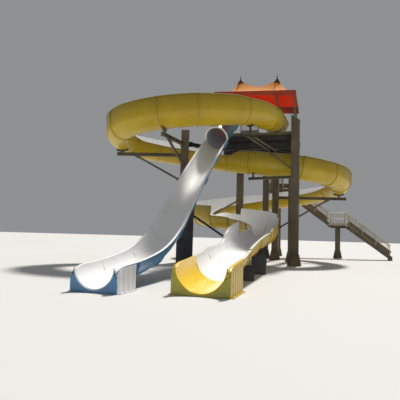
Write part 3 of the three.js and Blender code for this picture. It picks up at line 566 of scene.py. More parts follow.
# painted light: the side skirts are a lighter copy of the outside yellow, standing for the sun falling on them
M_YSK_PAINTED_SUNLIT = gelcoat("yellow_skirt_painted_sunlit_gelcoat", srgb(204, 172, 38), srgb(190, 155, 28), srgb(210, 180, 48), grime_and_shade_colour=srgb(150, 128, 56), grime_amt=0.3, streak=0.4, chalk=0.05, coat=0.15)
M_ROOF = fabric("canopy_fabric_top", srgb(250, 164, 62), srgb(240, 146, 50), srgb(252, 180, 78), trans=0.2)
M_UNDER = fabric("canopy_fabric_underside", srgb(238, 86, 48), srgb(224, 70, 40), srgb(246, 104, 62), trans=0.42)
M_BAND = fabric("canopy_edge_band", srgb(180, 76, 54), srgb(160, 62, 44), srgb(198, 94, 70), trans=0.2)
M_CAPS = fabric("canopy_peak_cap", srgb(84, 44, 36), srgb(66, 34, 28), srgb(104, 58, 46))


# ---------------------------------------------------------------------- routes
class Route:
    """smooth line through rows of x, y, z, left wall, right wall (centripetal spline)"""

    def __init__(self, rows, width):
        self.rows, self.w, self.n = rows, width, len(rows) - 1
        self.P = [np.array(r[:3], float) for r in rows]

    def point(self, u):
        u = min(self.n, max(0.0, u))
        i = min(self.n - 1, int(math.floor(u)))
        f = u - i
        P = self.P
        p1, p2 = P[i], P[i + 1]
        p0 = P[i - 1] if i > 0 else 2 * P[0] - P[1]
        p3 = P[i + 2] if i + 2 <= self.n else 2 * P[self.n] - P[self.n - 1]
        d0, d1, d2 = (((b - a) @ (b - a)) ** 0.25 for a, b in ((p0, p1), (p1, p2), (p2, p3)))
        d1 = d1 if d1 > 1e-4 else 1.0
        d0 = d0 if d0 > 1e-4 else d1
        d2 = d2 if d2 > 1e-4 else d1
        t1 = ((p1 - p0) / d0 - (p2 - p0) / (d0 + d1) + (p2 - p1) / d1) * d1
        t2 = ((p2 - p1) / d1 - (p3 - p1) / (d1 + d2) + (p3 - p2) / d2) * d1
        return p1 + t1 * f + (-3 * p1 + 3 * p2 - 2 * t1 - t2) * f * f + (2 * p1 - 2 * p2 + t1 + t2) * f ** 3

    def at(self, u):
        p = self.point(u)
        e = 1e-3
        t = unit(self.point(min(self.n, u + e)) - self.point(max(0.0, u - e)))
        side = unit([t[1], -t[0], 0.0])
        up = unit(np.cross(side, t))
        i = min(self.n - 1, int(math.floor(u)))
        f = u - i
        k = f * f * (3 - 2 * f)
        a, b = self.rows[i], self.rows[i + 1]
        return {"p": p + np.array([SX, SY, 0.0]), "t": t, "side": side, "up": up,
                "hl": a[3] + (b[3] - a[3]) * k, "hr": a[4] + (b[4] - a[4]) * k, "u": u}

    def table(self):
        """arc length by u"""
        if not hasattr(self, "_tab"):
            us = np.linspace(0, self.n, self.n * 40 + 1)
            pts = np.array([self.point(u) for u in us])
            self._tab = us, np.concatenate([[0], np.cumsum(np.linalg.norm(np.diff(pts, axis=0), axis=1))])
        return self._tab

    def s_of(self, u):
        us, ss = self.table()
        return float(np.interp(u, us, ss))

    def u_of(self, s):
        us, ss = self.table()
        return float(np.interp(s, ss, us))


YELLOW = Route([
    (4.88, 27.75, 8.26, .70, .72), (4.50, 26.45, 8.22, .70, .72), (3.78, 24.95, 8.01, 1.09, .72), (2.75, 23.65, 7.86, 1.20, .72),
    (1.30, 22.60, 7.55, 1.42, .72), (-.50, 22.15, 7.32, 1.50, .72), (-2.20, 22.30, 7.14, 1.50, .72), (-3.90, 23.10, 6.92, 1.50, .74),
    (-4.78, 24.60, 6.68, 1.50, .78), (-4.40, 26.20, 6.46, 1.54, .84), (-3.00, 27.15, 6.27, 1.56, .88), (-1.30, 27.45, 6.09, 1.54, .88),
    (.30, 27.60, 5.92, 1.26, .86), (1.60, 27.65, 5.80, .90, .90), (2.60, 27.55, 5.70, .76, 1.30), (4.20, 27.25, 5.53, .72, 1.36),
    (6.00, 27.20, 5.36, .72, 1.40), (7.80, 27.75, 5.18, .72, 1.36), (9.25, 29.10, 5.02, .72, 1.36), (10.08, 31.20, 4.84, .72, 1.36),
    (9.80, 33.60, 4.60, .72, 1.38), (8.60, 35.50, 4.38, .72, 1.42), (6.90, 36.55, 4.12, .72, 1.42), (5.00, 36.80, 3.82, .74, 1.44),
    (3.00, 36.40, 3.50, .74, 1.46), (1.10, 35.30, 3.04, .74, 1.46), (.20, 33.40, 2.60, .74, 1.46), (.25, 31.20, 2.34, .76, 1.46),
    (1.20, 29.50, 2.16, 1.05, .80), (2.40, 28.60, 1.98, 1.45, .78), (3.42, 27.40, 1.74, 1.52, .76), (3.80, 25.60, 1.48, 1.50, .76),
    (3.42, 23.20, 1.26, .98, .76), (2.72, 20.60, 1.10, .80, .76), (1.98, 18.00, .90, .76, .76), (1.32, 15.80, .60, .74, .76),
    (.66, 13.60, .22, .72, .76), (.08, 11.70, .04, .72, .76)], YW)
WHITE = Route([
    (1.70, 27.00, 8.18, .62, .62), (1.32, 25.80, 7.46, .62, .62), (.93, 24.45, 6.55, .62, .62), (.50, 23.00, 5.62, .62, .62),
    (.12, 21.70, 4.72, .62, .62), (-.35, 20.10, 3.56, .62, .62), (-.83, 18.50, 2.28, .62, .62), (-1.25, 17.10, 1.26, .62, .62),
    (-1.70, 15.60, .58, .62, .62), (-2.27, 13.70, .20, .62, .62), (-2.82, 11.85, .07, .60, .60)], WW)


def half_line(w, h, n):
    """inside line of one half, bottom to rim: across, up and the outward normal"""
    r = w / 2
    phi = math.acos(1 - h / r) if h < r else math.pi / 2
    arc = r * phi
    total = arc + max(0.0, h - r)
    s = np.linspace(0, total, n + 1)
    p = np.minimum(s, arc) / r
    a = r * np.sin(p)
    b = r * (1 - np.cos(p)) + np.maximum(0.0, s - arc)
    na, nb = np.sin(p), -np.cos(p)
    na = np.where(s > arc, 1.0, na)
    nb = np.where(s > arc, 0.0, nb)
    return a, b, na, nb, s


NH = 15          # points from the channel's bottom to its rim
IN, RIMM, OUT = 0, 1, 2


def channel_ring(w, hl, hr, t, lip, flare, recess=0.0):
    """closed section: a to the right, b up, with the material of the segment that follows each point, and its girth"""
    pts, mat, g = [], [], []

    def half(h, s):
        a, b, na, nb, girth = half_line(w, h, NH)
        ins = [(s * (a[i] + recess * na[i]), t + b[i] + recess * nb[i], IN, s * girth[i]) for i in range(NH + 1)]
        ex, ez = a[-1] + t * na[-1], t + b[-1] + t * nb[-1]
        top = max(ez, t + b[-1])
        low = ez - LIP_D
        o = ex + lip
        gi = girth[-1]
        r = 0.013
        rim = [
            (s * (a[-1] + recess), top - r, RIMM, s * gi),
            (s * (a[-1] + r * 0.3), top - r * 0.3, RIMM, s * (gi + 0.01)),
            (s * (a[-1] + r), top, RIMM, s * (gi + 0.02)),
            (s * (o - r), top, RIMM, s * (gi + 0.08)),
            (s * (o - r * 0.3), top - r * 0.3, RIMM, s * (gi + 0.09)),
            (s * o, top - r, RIMM, s * (gi + 0.10)),
            (s * o, low + 0.006, OUT, s * (gi + 0.13)),
            (s * (o - 0.008), low, OUT, s * (gi + 0.14)),
            (s * (ex + 0.016), low, OUT, s * (gi + 0.18)),
            (s * (ex + 0.004), low - 0.008, OUT, s * (gi + 0.19)),
        ]
        # the outer wall, rim to bottom
        out = []
        for i in range(NH - 1, -1, -1):
            k = 1.0
            d = t + flare * k
            out.append((s * (a[i] + d * na[i]), t + b[i] + d * nb[i], OUT, s * girth[i]))
        # keep the top of the outer wall under the lip
        out = [(x, min(z, low - 0.012), m_, gg) if abs(z) > low - 0.012 else (x, z, m_, gg) for x, z, m_, gg in out]
        return ins, rim, out

    li, lr, lo = half(hl, -1)
    ri, rr, ro = half(hr, 1)
    seq = []
    seq += li[::-1][1:] if False else []
    # start at the left rim inside, down and up to the right rim, round it, down outside, up to the left rim
    for q in li[::-1]:
        seq.append(q)
    for q in ri[1:]:
        seq.append(q)
    seq += rr
    seq += ro
    lrev = lo[::-1]
    seq += lrev[1:]
    seq += lr[::-1]
    # the segment's material: the one of the point it leads to on the way up at the left side
    n = len(seq)
    mats = []
    first_out = len(li) + len(ri) - 1 + len(rr)
    for i in range(n):
        a_, b_ = seq[i], seq[(i + 1) % n]
        if a_[2] == IN and b_[2] == IN:
            mats.append(IN)
        elif OUT in (a_[2], b_[2]):
            mats.append(OUT)
        else:
            mats.append(RIMM)
    return np.array([(q[0], q[1]) for q in seq]), mats, np.array([q[3] for q in seq])


def stations(s0, s1, ends, step):
    """arc positions of rings with the flare of a bolted flange at each flanged end"""
    L = s1 - s0
    gap = 0.003
    prof = [(0.0, 1.0), (0.012, 1.0), (0.015, 0.42), (0.024, 0.20), (0.040, 0.07), (0.062, 0.0)]
    out = []
    if ends[0]:
        out += [(s0 + gap + d, f) for d, f in prof]
    else:
        out.append((s0 + 0.00015, 0.0))
    a = out[-1][0]
    tail = [(s1 - gap - d, f) for d, f in reversed(prof)] if ends[1] else [(s1 - 0.00015, 0.0)]
    b = tail[0][0]
    k = max(1, int(round((b - a) / step)))
    out += [(a + (b - a) * i / k, 0.0) for i in range(1, k)]
    return out + tail


FLANGE = 0.052


def loft(mb, rings, mats, girth, ss, cap=(True, True), mat_of=None):
    """rings: list of (n, 3) arrays"""
    n = len(rings[0])
    V = np.concatenate(rings)
    F, Mx = [], []
    for k in range(len(rings) - 1):
        for i in range(n):
            j = (i + 1) % n
            F.append([k * n + i, (k + 1) * n + i, (k + 1) * n + j, k * n + j])
            Mx.append(mats[k][i] if isinstance(mats[0], (list, np.ndarray)) else mats[i])
    uv = np.concatenate([np.stack([np.full(n, s), g], 1) for s, g in zip(ss, girth)])
    vol = 0.0
    P = V[np.array(F)]
    c = V.mean(0)
    nrm = np.cross(P[:, 2] - P[:, 0], P[:, 3] - P[:, 1])
    vol = ((P.mean(1) - c) * nrm).sum()
    return V, F, Mx, uv


def sweep_channel(mb, route, s0, s1, ends, walls=None, step=0.12, matmap=(0, 1, 2), w=None, split=None):
    """one moulding of a channel between two arc positions; split(s, girth) may change a face's material"""
    w = route.w if w is None else w
    st = stations(s0, s1, ends, step)
    rings, girths, ss = [], [], []
    mats = None
    for s, fl in st:
        u = route.u_of(s)
        f = route.at(u)
        if walls:
            f["hl"], f["hr"] = walls(u, f)
        ring, mats, g = channel_ring(w, f["hl"], f["hr"], SHELL, LIP, fl * FLANGE)
        rings.append(f["p"] + ring[:, :1] * f["side"] + ring[:, 1:] * f["up"])
        girths.append(g)
        ss.append(s)
    n = len(mats)
    V = np.concatenate(rings)
    F, Mx = [], []
    for k in range(len(rings) - 1):
        for i in range(n):
            j = (i + 1) % n
            F.append([k * n + i, k * n + j, (k + 1) * n + j, (k + 1) * n + i])
            m_ = matmap[mats[i]]
            if split is not None:
                m_ = split(0.5 * (ss[k] + ss[k + 1]), mats[i], m_)
            Mx.append(m_)
    uv = np.concatenate([np.stack([np.full(n, s), g], 1) for s, g in zip(ss, girths)])
    # end faces as strips between the inside and the outside line, so they stay clean when concave
    def cap(base, flip, face_mat):
        ni = 2 * NH + 1
        fs = []
        inner = list(range(ni))
        outer = list(range(ni, n))[::-1]         # from the left rim round to the right rim
        # match the two lines by walking along both
        i = j = 0
        A, B = inner, outer
        while i < len(A) - 1 or j < len(B) - 1:
            if j >= len(B) - 1 or (i < len(A) - 1 and i / (len(A) - 1) <= j / (len(B) - 1)):
                tri = [base + A[i], base + A[i + 1], base + B[j]]
                i += 1
            else:
                tri = [base + A[i], base + B[j + 1], base + B[j]]
                j += 1
            fs.append(tri[::-1] if flip else tri)
        return fs
    c0 = cap(0, True, 0)
    c1 = cap((len(rings) - 1) * n, False, 0)
    F += c0 + c1
    Mx += [matmap[OUT]] * (len(c0) + len(c1))
    # all faces outwards
    P0 = V[F[n * (len(rings) // 2) + NH]]
    nrm = np.cross(P0[2] - P0[0], P0[3] - P0[1])
    mid = route.at(route.u_of((s0 + s1) / 2))
    if nrm @ mid["up"] < 0:      # the bottom's inside face must look up
        F = [f[::-1] for f in F]
    mb.add(V, F, Mx, uv)


def seal_ring(mb, route, s, walls=None, mat=0, w=None, flare=FLANGE * 0.85):
    """sealant that fills the joint between two mouldings, a little recessed"""
    w = route.w if w is None else w
    rings = []
    for ds in (-0.0028, 0.0028):
        u = route.u_of(s + ds)
        f = route.at(u)
        if walls:
            f["hl"], f["hr"] = walls(u, f)
        ring, mats, g = channel_ring(w, f["hl"], f["hr"], SHELL, LIP - 0.006, flare, recess=0.002)
        ring[:, 1] -= np.where(ring[:, 1] > ring[:, 1].max() - 0.03, 0.004, 0.0)
        rings.append(f["p"] + ring[:, :1] * f["side"] + ring[:, 1:] * f["up"])
    n = len(rings[0])
    V = np.concatenate(rings)
    F = [[i, (i + 1) % n, n + (i + 1) % n, n + i] for i in range(n)]
    P0 = V[F[NH]]
    nrm = np.cross(P0[2] - P0[0], P0[3] - P0[1])
    if nrm @ f["up"] < 0:
        F = [q[::-1] for q in F]
    mb.add(V, F, mat)


def joint_bolts(mb, route, s, walls=None, mat=0, w=None, pitch=0.17, skip_top=0.10):
    """bolt heads and nuts on both faces of a joint's flange"""
    w = route.w if w is None else w
    u = route.u_of(s)
    f = route.at(u)
    if walls:
        f["hl"], f["hr"] = walls(u, f)
    for sgn, h in ((-1, f["hl"]), (1, f["hr"])):
        r = w / 2
        d = SHELL + FLANGE * 0.62
        phi = math.acos(1 - h / r) if h < r else math.pi / 2
        arc = r * phi
        total = arc + max(0.0, h - r) - skip_top
        n = max(2, int(total / pitch))
        for i in range(n + (1 if sgn > 0 else 0)):
            g = total * (i + (0 if sgn > 0 else 1)) / n
            if g <= arc:
                p = g / r
                a, b, na, nb = r * math.sin(p), r * (1 - math.cos(p)), math.sin(p), -math.cos(p)
            else:
                a, b, na, nb = r, r + g - arc, 1.0, 0.0
            q = f["p"] + f["side"] * sgn * (a + d * na) + f["up"] * (SHELL + b + d * nb)
            for e in (-1, 1):
                mb.hexhead(q + f["t"] * e * 0.0152, f["t"] * e, 0.0135, 0.014 if e < 0 else 0.018, mat)


# walls of the pieces whose walls don't follow the rows
FIN_U = [33.2, 33.5, 33.9, 34.16, 34.34, 34.5, 34.9, 35.4]
FIN_H = [1.22, 1.18, 1.07, 0.92, 0.68, 0.59, 0.62, 0.75]


def w_lower_left(u, f):
    return f["hl"], 1.46


def w_near(u, f):
    return 1.08, 0.82


def w_final_turn(u, f):
    k = (u - 28.85) / 2.45
    return 1.5 + 0.04 * math.sin(math.pi * k), 0.78


def w_final_upper(u, f):
    k = (u - 31.3) / 1.9
    return 1.36 - 0.56 * k, 0.76 - 0.08 * k


def w_final_lower(u, f):
    return 0.76, float(np.interp(u, FIN_U, FIN_H))


# pieces: name, from, to, wall rule, joints inside the piece (u), flanged at its two ends
YELLOW_PIECES = [
    ("start_tub", 0, 1.3, None, [], (False, True)),
    ("upper_right_turn", 1.3, 3.4, None, [2.05], (True, True)),
    ("front_run", 3.4, 5.93, None, [4.85], (True, True)),
    ("upper_left_turn", 5.93, 8.9, None, [7.4], (True, True)),
    ("upper_back_run", 8.9, 11.55, None, [10.1], (True, True)),
    ("cross_over", 11.55, 14.3, None, [13.0], (True, True)),
    ("middle_run", 14.3, 17.3, None, [16.1], (True, True)),
    ("lower_right_turn", 17.3, 20.95, None, [18.5, 19.7], (True, True)),
    ("lower_back_run", 20.95, 23.65, None, [22.3], (True, True)),
    ("lower_left_turn", 23.65, 28, w_lower_left, [24.9, 26.1, 27.1], (True, True)),
    ("near_run", 28, 28.85, w_near, [], (True, True)),
    ("final_turn", 28.85, 31.3, w_final_turn, [30.2], (True, True)),
    ("final_run_upper", 31.3, 33.2, w_final_upper, [32.1, 32.55], (True, True)),
    ("final_run_lower", 33.2, 35.4, w_final_lower, [34.35], (True, True)),
]


# --------------------------------------------------------------------- slides
REPLACED = []


def piece(mb, name, mats, nodes=(), sharp=35.0, smooth=True):
    ob = mb.obj(name, mats, sharp, smooth)
    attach(ob, "root")
    if nodes:
        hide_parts(*nodes)
    return ob


bolts_yellow, seals = Mesh(), Mesh()
STEP = 0.11
for name, ua, ub, walls, joints, ends in YELLOW_PIECES:
    mb = Mesh()
    cuts = [ua] + joints + [ub]
    for i in range(len(cuts) - 1):
        fl = (ends[0] if i == 0 else True, ends[1] if i == len(cuts) - 2 else True)
        sweep_channel(mb, YELLOW, YELLOW.s_of(cuts[i]), YELLOW.s_of(cuts[i + 1]), fl, walls, STEP)
    for u in joints:
        seal_ring(mb, YELLOW, YELLOW.s_of(u), walls, 3)
        joint_bolts(bolts_yellow, YELLOW, YELLOW.s_of(u), walls)
    if ends[1]:
        joint_bolts(bolts_yellow, YELLOW, YELLOW.s_of(ub), walls)
        seal_ring(mb, YELLOW, YELLOW.s_of(ub), walls, 3)
    piece(mb, "yellow_" + name + "_shell", [M_WHT, M_RIM, M_YEL, M_SEAL], ["yellow_" + name])

WHITE_PIECES = [
    ("chute_upper", 2, 4.68, [3.35], (True, True)),
    ("chute_lower", 4.68, 6.9, [5.72], (True, True)),
    ("chute_curve", 6.9, 9.2, [8.1], (True, True)),
]
for name, ua, ub, joints, ends in WHITE_PIECES:
    mb = Mesh()
    cuts = [ua] + joints + [ub]
    for i in range(len(cuts) - 1):
        fl = (ends[0] if i == 0 else True, ends[1] if i == len(cuts) - 2 else True)
        sweep_channel(mb, WHITE, WHITE.s_of(cuts[i]), WHITE.s_of(cuts[i + 1]), fl, None, STEP)
    for u in joints + ([ub] if ends[1] else []):
        seal_ring(mb, WHITE, WHITE.s_of(u), None, 3)
        joint_bolts(bolts_yellow, WHITE, WHITE.s_of(u), None)
    piece(mb, "white_" + name + "_shell", [M_WHT, M_WHT, M_BLU, M_SEAL], ["white_" + name])

piece(bolts_yellow, "channel_joint_bolts", [M_GALV])

# ----------------------------------------------------------------------- exits
def frame_at(route, u):
    f = route.at(u)
    return f


def shoulder(route, u):
    """the walls round down towards the mouth"""
    d = route.s_of(float(route.n)) - route.s_of(u)
    k = max(0.0, 1 - d / 0.62)
    return 0.19 * (1 - math.sqrt(max(0.0, 1 - k * k)))


def lip_height(route, u, side):
    f = route.at(u)
    return f["p"][2] + SHELL + f["hr" if side > 0 else "hl"] - shoulder(route, u)


def exit_body(mb, route, us, u1, half, top, w, m_plate, m_skirt, m_edge):
    """front bulkhead with the channel's mouth cut out, and the two ribbed side skirts"""
    f, b = route.at(u1), route.at(us)
    t = unit([f["t"][0], f["t"][1], 0.0])
    side = np.array([t[1], -t[0], 0.0])
    front = np.array([f["p"][0], f["p"][1], 0.0]) + t * 0.038
    ln = float(np.linalg.norm(front[:2] - b["p"][:2]))

    def P(a_, y, z):
        return front + side * a_ + t * y + UP * z

    zc = f["p"][2] + SHELL + w / 2
    r = w / 2 + SHELL * 0.55
    N = 72
    # the mouth's edge, left top to right top
    inner = [(-r, top + 0.01)]
    inner += [(r * math.sin(k), zc - r * math.cos(k)) for k in np.linspace(-math.pi / 2, math.pi / 2, 41)]
    inner += [(r, top + 0.01)]
    outer = [(-half + 0.06, top), (-half + 0.03, top - 0.06), (-half + 0.008, top - 0.14), (-half, top - 0.22), (-half, 0.004), (half, 0.004),
             (half, top - 0.10), (half - 0.012, top - 0.05), (half - 0.04, top)]

    def resample(line, n, marks=None):
        line = np.array(line, float)
        d = np.concatenate([[0], np.cumsum(np.linalg.norm(np.diff(line, axis=0), axis=1))])
        if marks is None:
            q = np.linspace(0, d[-1], n)
        else:
            key = [0.0] + [m[0] for m in marks] + [1.0]
            val = [0.0] + [d[m[1]] for m in marks] + [d[-1]]
            q = np.interp(np.linspace(0, 1, n), key, val)
        return np.stack([np.interp(q, d, line[:, 0]), np.interp(q, d, line[:, 1])], 1)

    A = resample(inner, N + 1)
    B = resample(outer, N + 1, [(0.36111111, 4), (0.63888889, 5)])
    for y0, y1 in ((-0.022, -0.006),):
        vs = []
        for y in (y0, y1):
            for q in A:
                vs.append(P(q[0], y, q[1]))
            for q in B:
                vs.append(P(q[0], y, q[1]))
        n = N + 1
        fs = []
        for i in range(N):
            a0, a1, b0, b1 = i, i + 1, n + i, n + i + 1
            fs.append([2 * n + a0, 2 * n + a1, 2 * n + b1, 2 * n + b0])       # front face (towards the outside)
            fs.append([a0, b0, b1, a1])
            fs.append([b0, 2 * n + b0, 2 * n + b1, b1])
            fs.append([a0, a1, 2 * n + a1, 2 * n + a0])
        fs.append([0, 2 * n, 3 * n, n])
        fs.append([N, n + N, 3 * n + N, 2 * n + N])
        vs = np.array(vs)
        q = vs[fs[0]]
        if np.cross(q[2] - q[0], q[3] - q[1]) @ t < 0:
            fs = [g[::-1] for g in fs]
        mb.add(vs, fs, m_plate)
    # bead round the mouth, where the bulkhead is laminated to the channel
    rr = w / 2 + SHELL * 0.5
    bead = [P(rr * math.sin(k), 0.0, zc - rr * math.cos(k)) for k in np.linspace(-math.pi / 2, math.pi / 2, 33)]
    mb.tube(bead, 0.017, 8, m_edge)
    # skirts
    for sg in (-1, 1):
        ys, off = [], []
        y = -ln
        pitch, rib = 0.30, 0.012
        k = 0
        while y < -0.02:
            for dy, o in ((0.0, 0.0), (0.055, 0.0), (0.070, rib), (0.15, rib), (0.165, 0.0)):
                if y + dy < -0.028:
                    ys.append(y + dy)
                    off.append(o)
            y += pitch
        ys.append(-0.014)
        off.append(0.0)
        rows = 9
        vs = []
        for layer in (0.0, -0.009):
            for yy, oo in zip(ys, off):
                u = u1 + (us - u1) * min(1.0, -yy / ln)
                lz = lip_height(route, u, sg) - LIP_D + 0.012
                tz = float(np.interp(yy, [-0.24, -0.13, -0.05, -0.012], [0.0, -0.012, -0.05, -0.11])) if sg > 0 or True else 0.0
                zt = min(lz, lz + tz) - 0.004
                for j in range(rows + 1):
                    e = j / rows
                    z = 0.004 + (zt - 0.004) * e
                    o = oo * min(1.0, (zt - z) / 0.05) if zt - z < 0.05 else oo
                    vs.append(P(sg * (half - 0.012 + o + layer), yy, z))
        m = len(ys)
        R = rows + 1
        fs = []
        for i in range(m - 1):
            for j in range(rows):
                a0, a1, b1, b0 = i * R + j, (i + 1) * R + j, (i + 1) * R + j + 1, i * R + j + 1
                fs.append([a0, a1, b1, b0])
                o = m * R
                fs.append([o + a0, o + b0, o + b1, o + a1])
        o = m * R
        for i in range(m - 1):
            fs.append([i * R, o + i * R, o + (i + 1) * R, (i + 1) * R])
            fs.append([i * R + rows, (i + 1) * R + rows, o + (i + 1) * R + rows, o + i * R + rows])
        for j in range(rows):
            fs.append([j, j + 1, o + j + 1, o + j])
            e = (m - 1) * R
            fs.append([e + j, o + e + j, o + e + j + 1, e + j + 1])
        vs = np.array(vs)
        q = vs[fs[0]]
        if np.cross(q[2] - q[0], q[3] - q[1]) @ (side * sg) < 0:
            fs = [g[::-1] for g in fs]
        mb.add(vs, fs, m_skirt)
        # closing return between the skirt's top and the channel's rim
        top_out, top_in = [], []
        for yy in np.linspace(-ln, -0.03, 14):
            u = u1 + (us - u1) * min(1.0, -yy / ln)
            lz = lip_height(route, u, sg) - LIP_D + 0.006
            tz = float(np.interp(yy, [-0.24, -0.13, -0.05, -0.012], [0.0, -0.012, -0.05, -0.11]))
            top_out.append(P(sg * (half - 0.008), yy, lz + tz))
            top_in.append(P(sg * (w / 2 + SHELL * 0.7), yy, lz + tz * 0.4))
        V = np.array(top_out + top_in + [q - UP * 0.008 for q in top_out] + [q - UP * 0.008 for q in top_in])
        n = len(top_out)
        fs = []
        for i in range(n - 1):
            fs.append([i, i + 1, n + i + 1, n + i])
            fs.append([2 * n + i, 3 * n + i, 3 * n + i + 1, 2 * n + i + 1])
            fs.append([i, 2 * n + i, 2 * n + i + 1, i + 1])
            fs.append([n + i, n + i + 1, 3 * n + i + 1, 3 * n + i])
        q = V[fs[0]]
        if np.cross(q[2] - q[0], q[3] - q[1])[2] < 0:
            fs = [g[::-1] for g in fs]
        mb.add(V, fs, m_skirt)
        # foot flange with anchor bolts
        mb.frame_box(P(sg * (half + 0.035), -ln / 2, 0.010), (side, t, UP), (0.045, ln / 2 - 0.03, 0.006), 0.003, m_skirt)


def exit_channel(mb, route, cuts, ends, inside, walls=None):
    for i in range(len(cuts) - 1):
        fl = (True, i < len(cuts) - 2)
        base = mb.n
        walls = lambda u, f: (f["hl"] - shoulder(route, u), f["hr"] - shoulder(route, u))
        sweep_channel(mb, route, route.s_of(cuts[i]), route.s_of(cuts[i + 1]), fl, walls, 0.06, matmap=(inside[i], 1 if inside[i] == 0 else inside[i], 2))
        if i > 0:
            seal_ring(mb, route, route.s_of(cuts[i]), walls, 3)
            joint_bolts(bolts_exit, route, route.s_of(cuts[i]), walls)


bolts_exit = Mesh()
mb = Mesh()
exit_channel(mb, YELLOW, [35.4, 36.05, 37.0], (True, False), [0, 4])
exit_body(mb, YELLOW, 36.15, 37.0, 0.84, 0.61, YW, 5, 6, 6)
piece(mb, "yellow_exit_shell", [M_WHT, M_RIM, M_YEL, M_SEAL, M_YIN, M_YEL_PAINTED_SHADE_PLATE, M_YSK_PAINTED_SUNLIT], ["yellow_exit"])
mb = Mesh()
exit_channel(mb, WHITE, [9.2, 10.0], (True, False), [0])
exit_body(mb, WHITE, 9.4, 10.0, 0.72, 0.47, WW, 5, 4, 4)
piece(mb, "white_exit_shell", [M_WHT, M_WHT, M_BLU, M_SEAL, M_WOUT, M_BLU], ["white_exit"])
for sgn in (-1, 1):
    for route, us, u1, half in ((YELLOW, 36.15, 37.0, 0.84), (WHITE, 9.4, 10.0, 0.72)):
        f, b = route.at(u1), route.at(us)
        t = unit([f["t"][0], f["t"][1], 0.0])
        sd = np.array([t[1], -t[0], 0.0])
        fr = np.array([f["p"][0], f["p"][1], 0.0]) + t * 0.038
        ln = float(np.linalg.norm(fr[:2] - b["p"][:2]))
        for k in range(4):
            bolts_exit.hexhead(fr + sd * sgn * (half + 0.045) - t * (0.12 + k * (ln - 0.24) / 3) + UP * 0.016, UP, 0.016, 0.014)
piece(bolts_exit, "exit_bolts", [M_GALV])


# ------------------------------------------------------------------ start tube
def stadium(w, h, z0, n=16):
    r = w / 2
    pts = []
    for k in range(n + 1):
        a_ = math.pi + math.pi * k / n
        pts.append((r * math.cos(a_), z0 + r + r * math.sin(a_)))
    for k in range(n + 1):
        a_ = math.pi * k / n
        pts.append((r * math.cos(a_), z0 + h - r + r * math.sin(a_)))
    return np.array(pts)


def tube_piece(mb, u0, u1, fl, m_out=0, m_in=1, m_end=2):
    s0, s1 = WHITE.s_of(u0), WHITE.s_of(u1)
    ins, outs, ss = [], [], []
    st = stations(s0, s1, fl, 0.11)
    for s, e in st:
        f = WHITE.at(WHITE.u_of(s))
        a_ = stadium(WW, TUBE_H, SHELL)
        b_ = stadium(WW + 2 * SHELL + 2 * e * FLANGE, TUBE_H + 2 * SHELL + 2 * e * FLANGE, -e * FLANGE)
        ins.append(f["p"] + a_[:, :1] * f["side"] + a_[:, 1:] * f["up"])
        outs.append(f["p"] + b_[:, :1] * f["side"] + b_[:, 1:] * f["up"])
        ss.append(s)
    n = len(ins[0])
    K = len(st)
    V = np.concatenate(ins + outs)
    girth = np.concatenate([[0], np.cumsum(np.linalg.norm(np.diff(ins[0], axis=0), axis=1))])
    uv = np.concatenate([np.stack([np.full(n, s), girth], 1) for s in ss] * 2)
    F, Mx = [], []
    o = K * n
    for k in range(K - 1):
        for i in range(n):
            j = (i + 1) % n
            F.append([k * n + i, (k + 1) * n + i, (k + 1) * n + j, k * n + j])
            Mx.append(m_in)
            F.append([o + k * n + i, o + k * n + j, o + (k + 1) * n + j, o + (k + 1) * n + i])
            Mx.append(m_out)
    for i in range(n):
        j = (i + 1) % n
        F.append([i, j, o + j, o + i])
        Mx.append(m_end)
        e = (K - 1) * n
        F.append([e + i, o + e + i, o + e + j, e + j])
        Mx.append(m_end)
    # outward test on one outside face at the bottom
    q = V[F[2 * (n // 4) + 1]]
    f = WHITE.at(WHITE.u_of(ss[0]))
    if np.cross(q[2] - q[0], q[3] - q[1]) @ f["up"] > 0:
        F = [g[::-1] for g in F]
    mb.add(V, F, Mx, uv)


mb = Mesh()
tube_piece(mb, 0, 1.0, (True, True))
tube_piece(mb, 1.0, 2.0, (True, True))
# bolts round the tube's joint and its mouth
tb = Mesh()
for u, both in ((1.0, True), (2.0, False), (0.0, False)):
    f = WHITE.at(u)
    ring = stadium(WW + 2 * SHELL + FLANGE * 1.2, TUBE_H + 2 * SHELL + FLANGE * 1.2, -FLANGE * 0.6, 16)
    for i in range(0, len(ring), 2):
        q = f["p"] + ring[i][0] * f["side"] + ring[i][1] * f["up"]
        for e in (-1, 1):
            if both or (u == 2.0 and e < 0) or (u == 0.0 and e > 0):
                tb.hexhead(q + f["t"] * e * 0.0155, f["t"] * e, 0.0135, 0.014)
# white moulded rim round the mouth
f = WHITE.at(2.0)
rim = []
ring = stadium(WW + 0.02, TUBE_H + 0.02, SHELL - 0.01, 20)
pts = [f["p"] - f["t"] * 0.02 + q[0] * f["side"] + q[1] * f["up"] for q in ring]
mb.tube(pts, 0.028, 8, 2, closed=True)
piece(mb, "white_start_tube_shell", [M_TEAL, M_BORE, M_RIM], ["white_start_tube"])
piece(tb, "start_tube_bolts", [M_GALV])


# --------------------------------------------------------------------- columns
def rsec(w, h, r=0.03, k=3):
    out = []
    for cx, cy, a0 in ((w / 2 - r, h / 2 - r, 0), (-w / 2 + r, h / 2 - r, 90), (-w / 2 + r, -h / 2 + r, 180), (w / 2 - r, -h / 2 + r, 270)):
        for i in range(k + 1):
            a_ = math.radians(a0 + 90 * i / k)
            out.append((cx + r * math.cos(a_), cy + r * math.sin(a_)))
    return np.array(out)


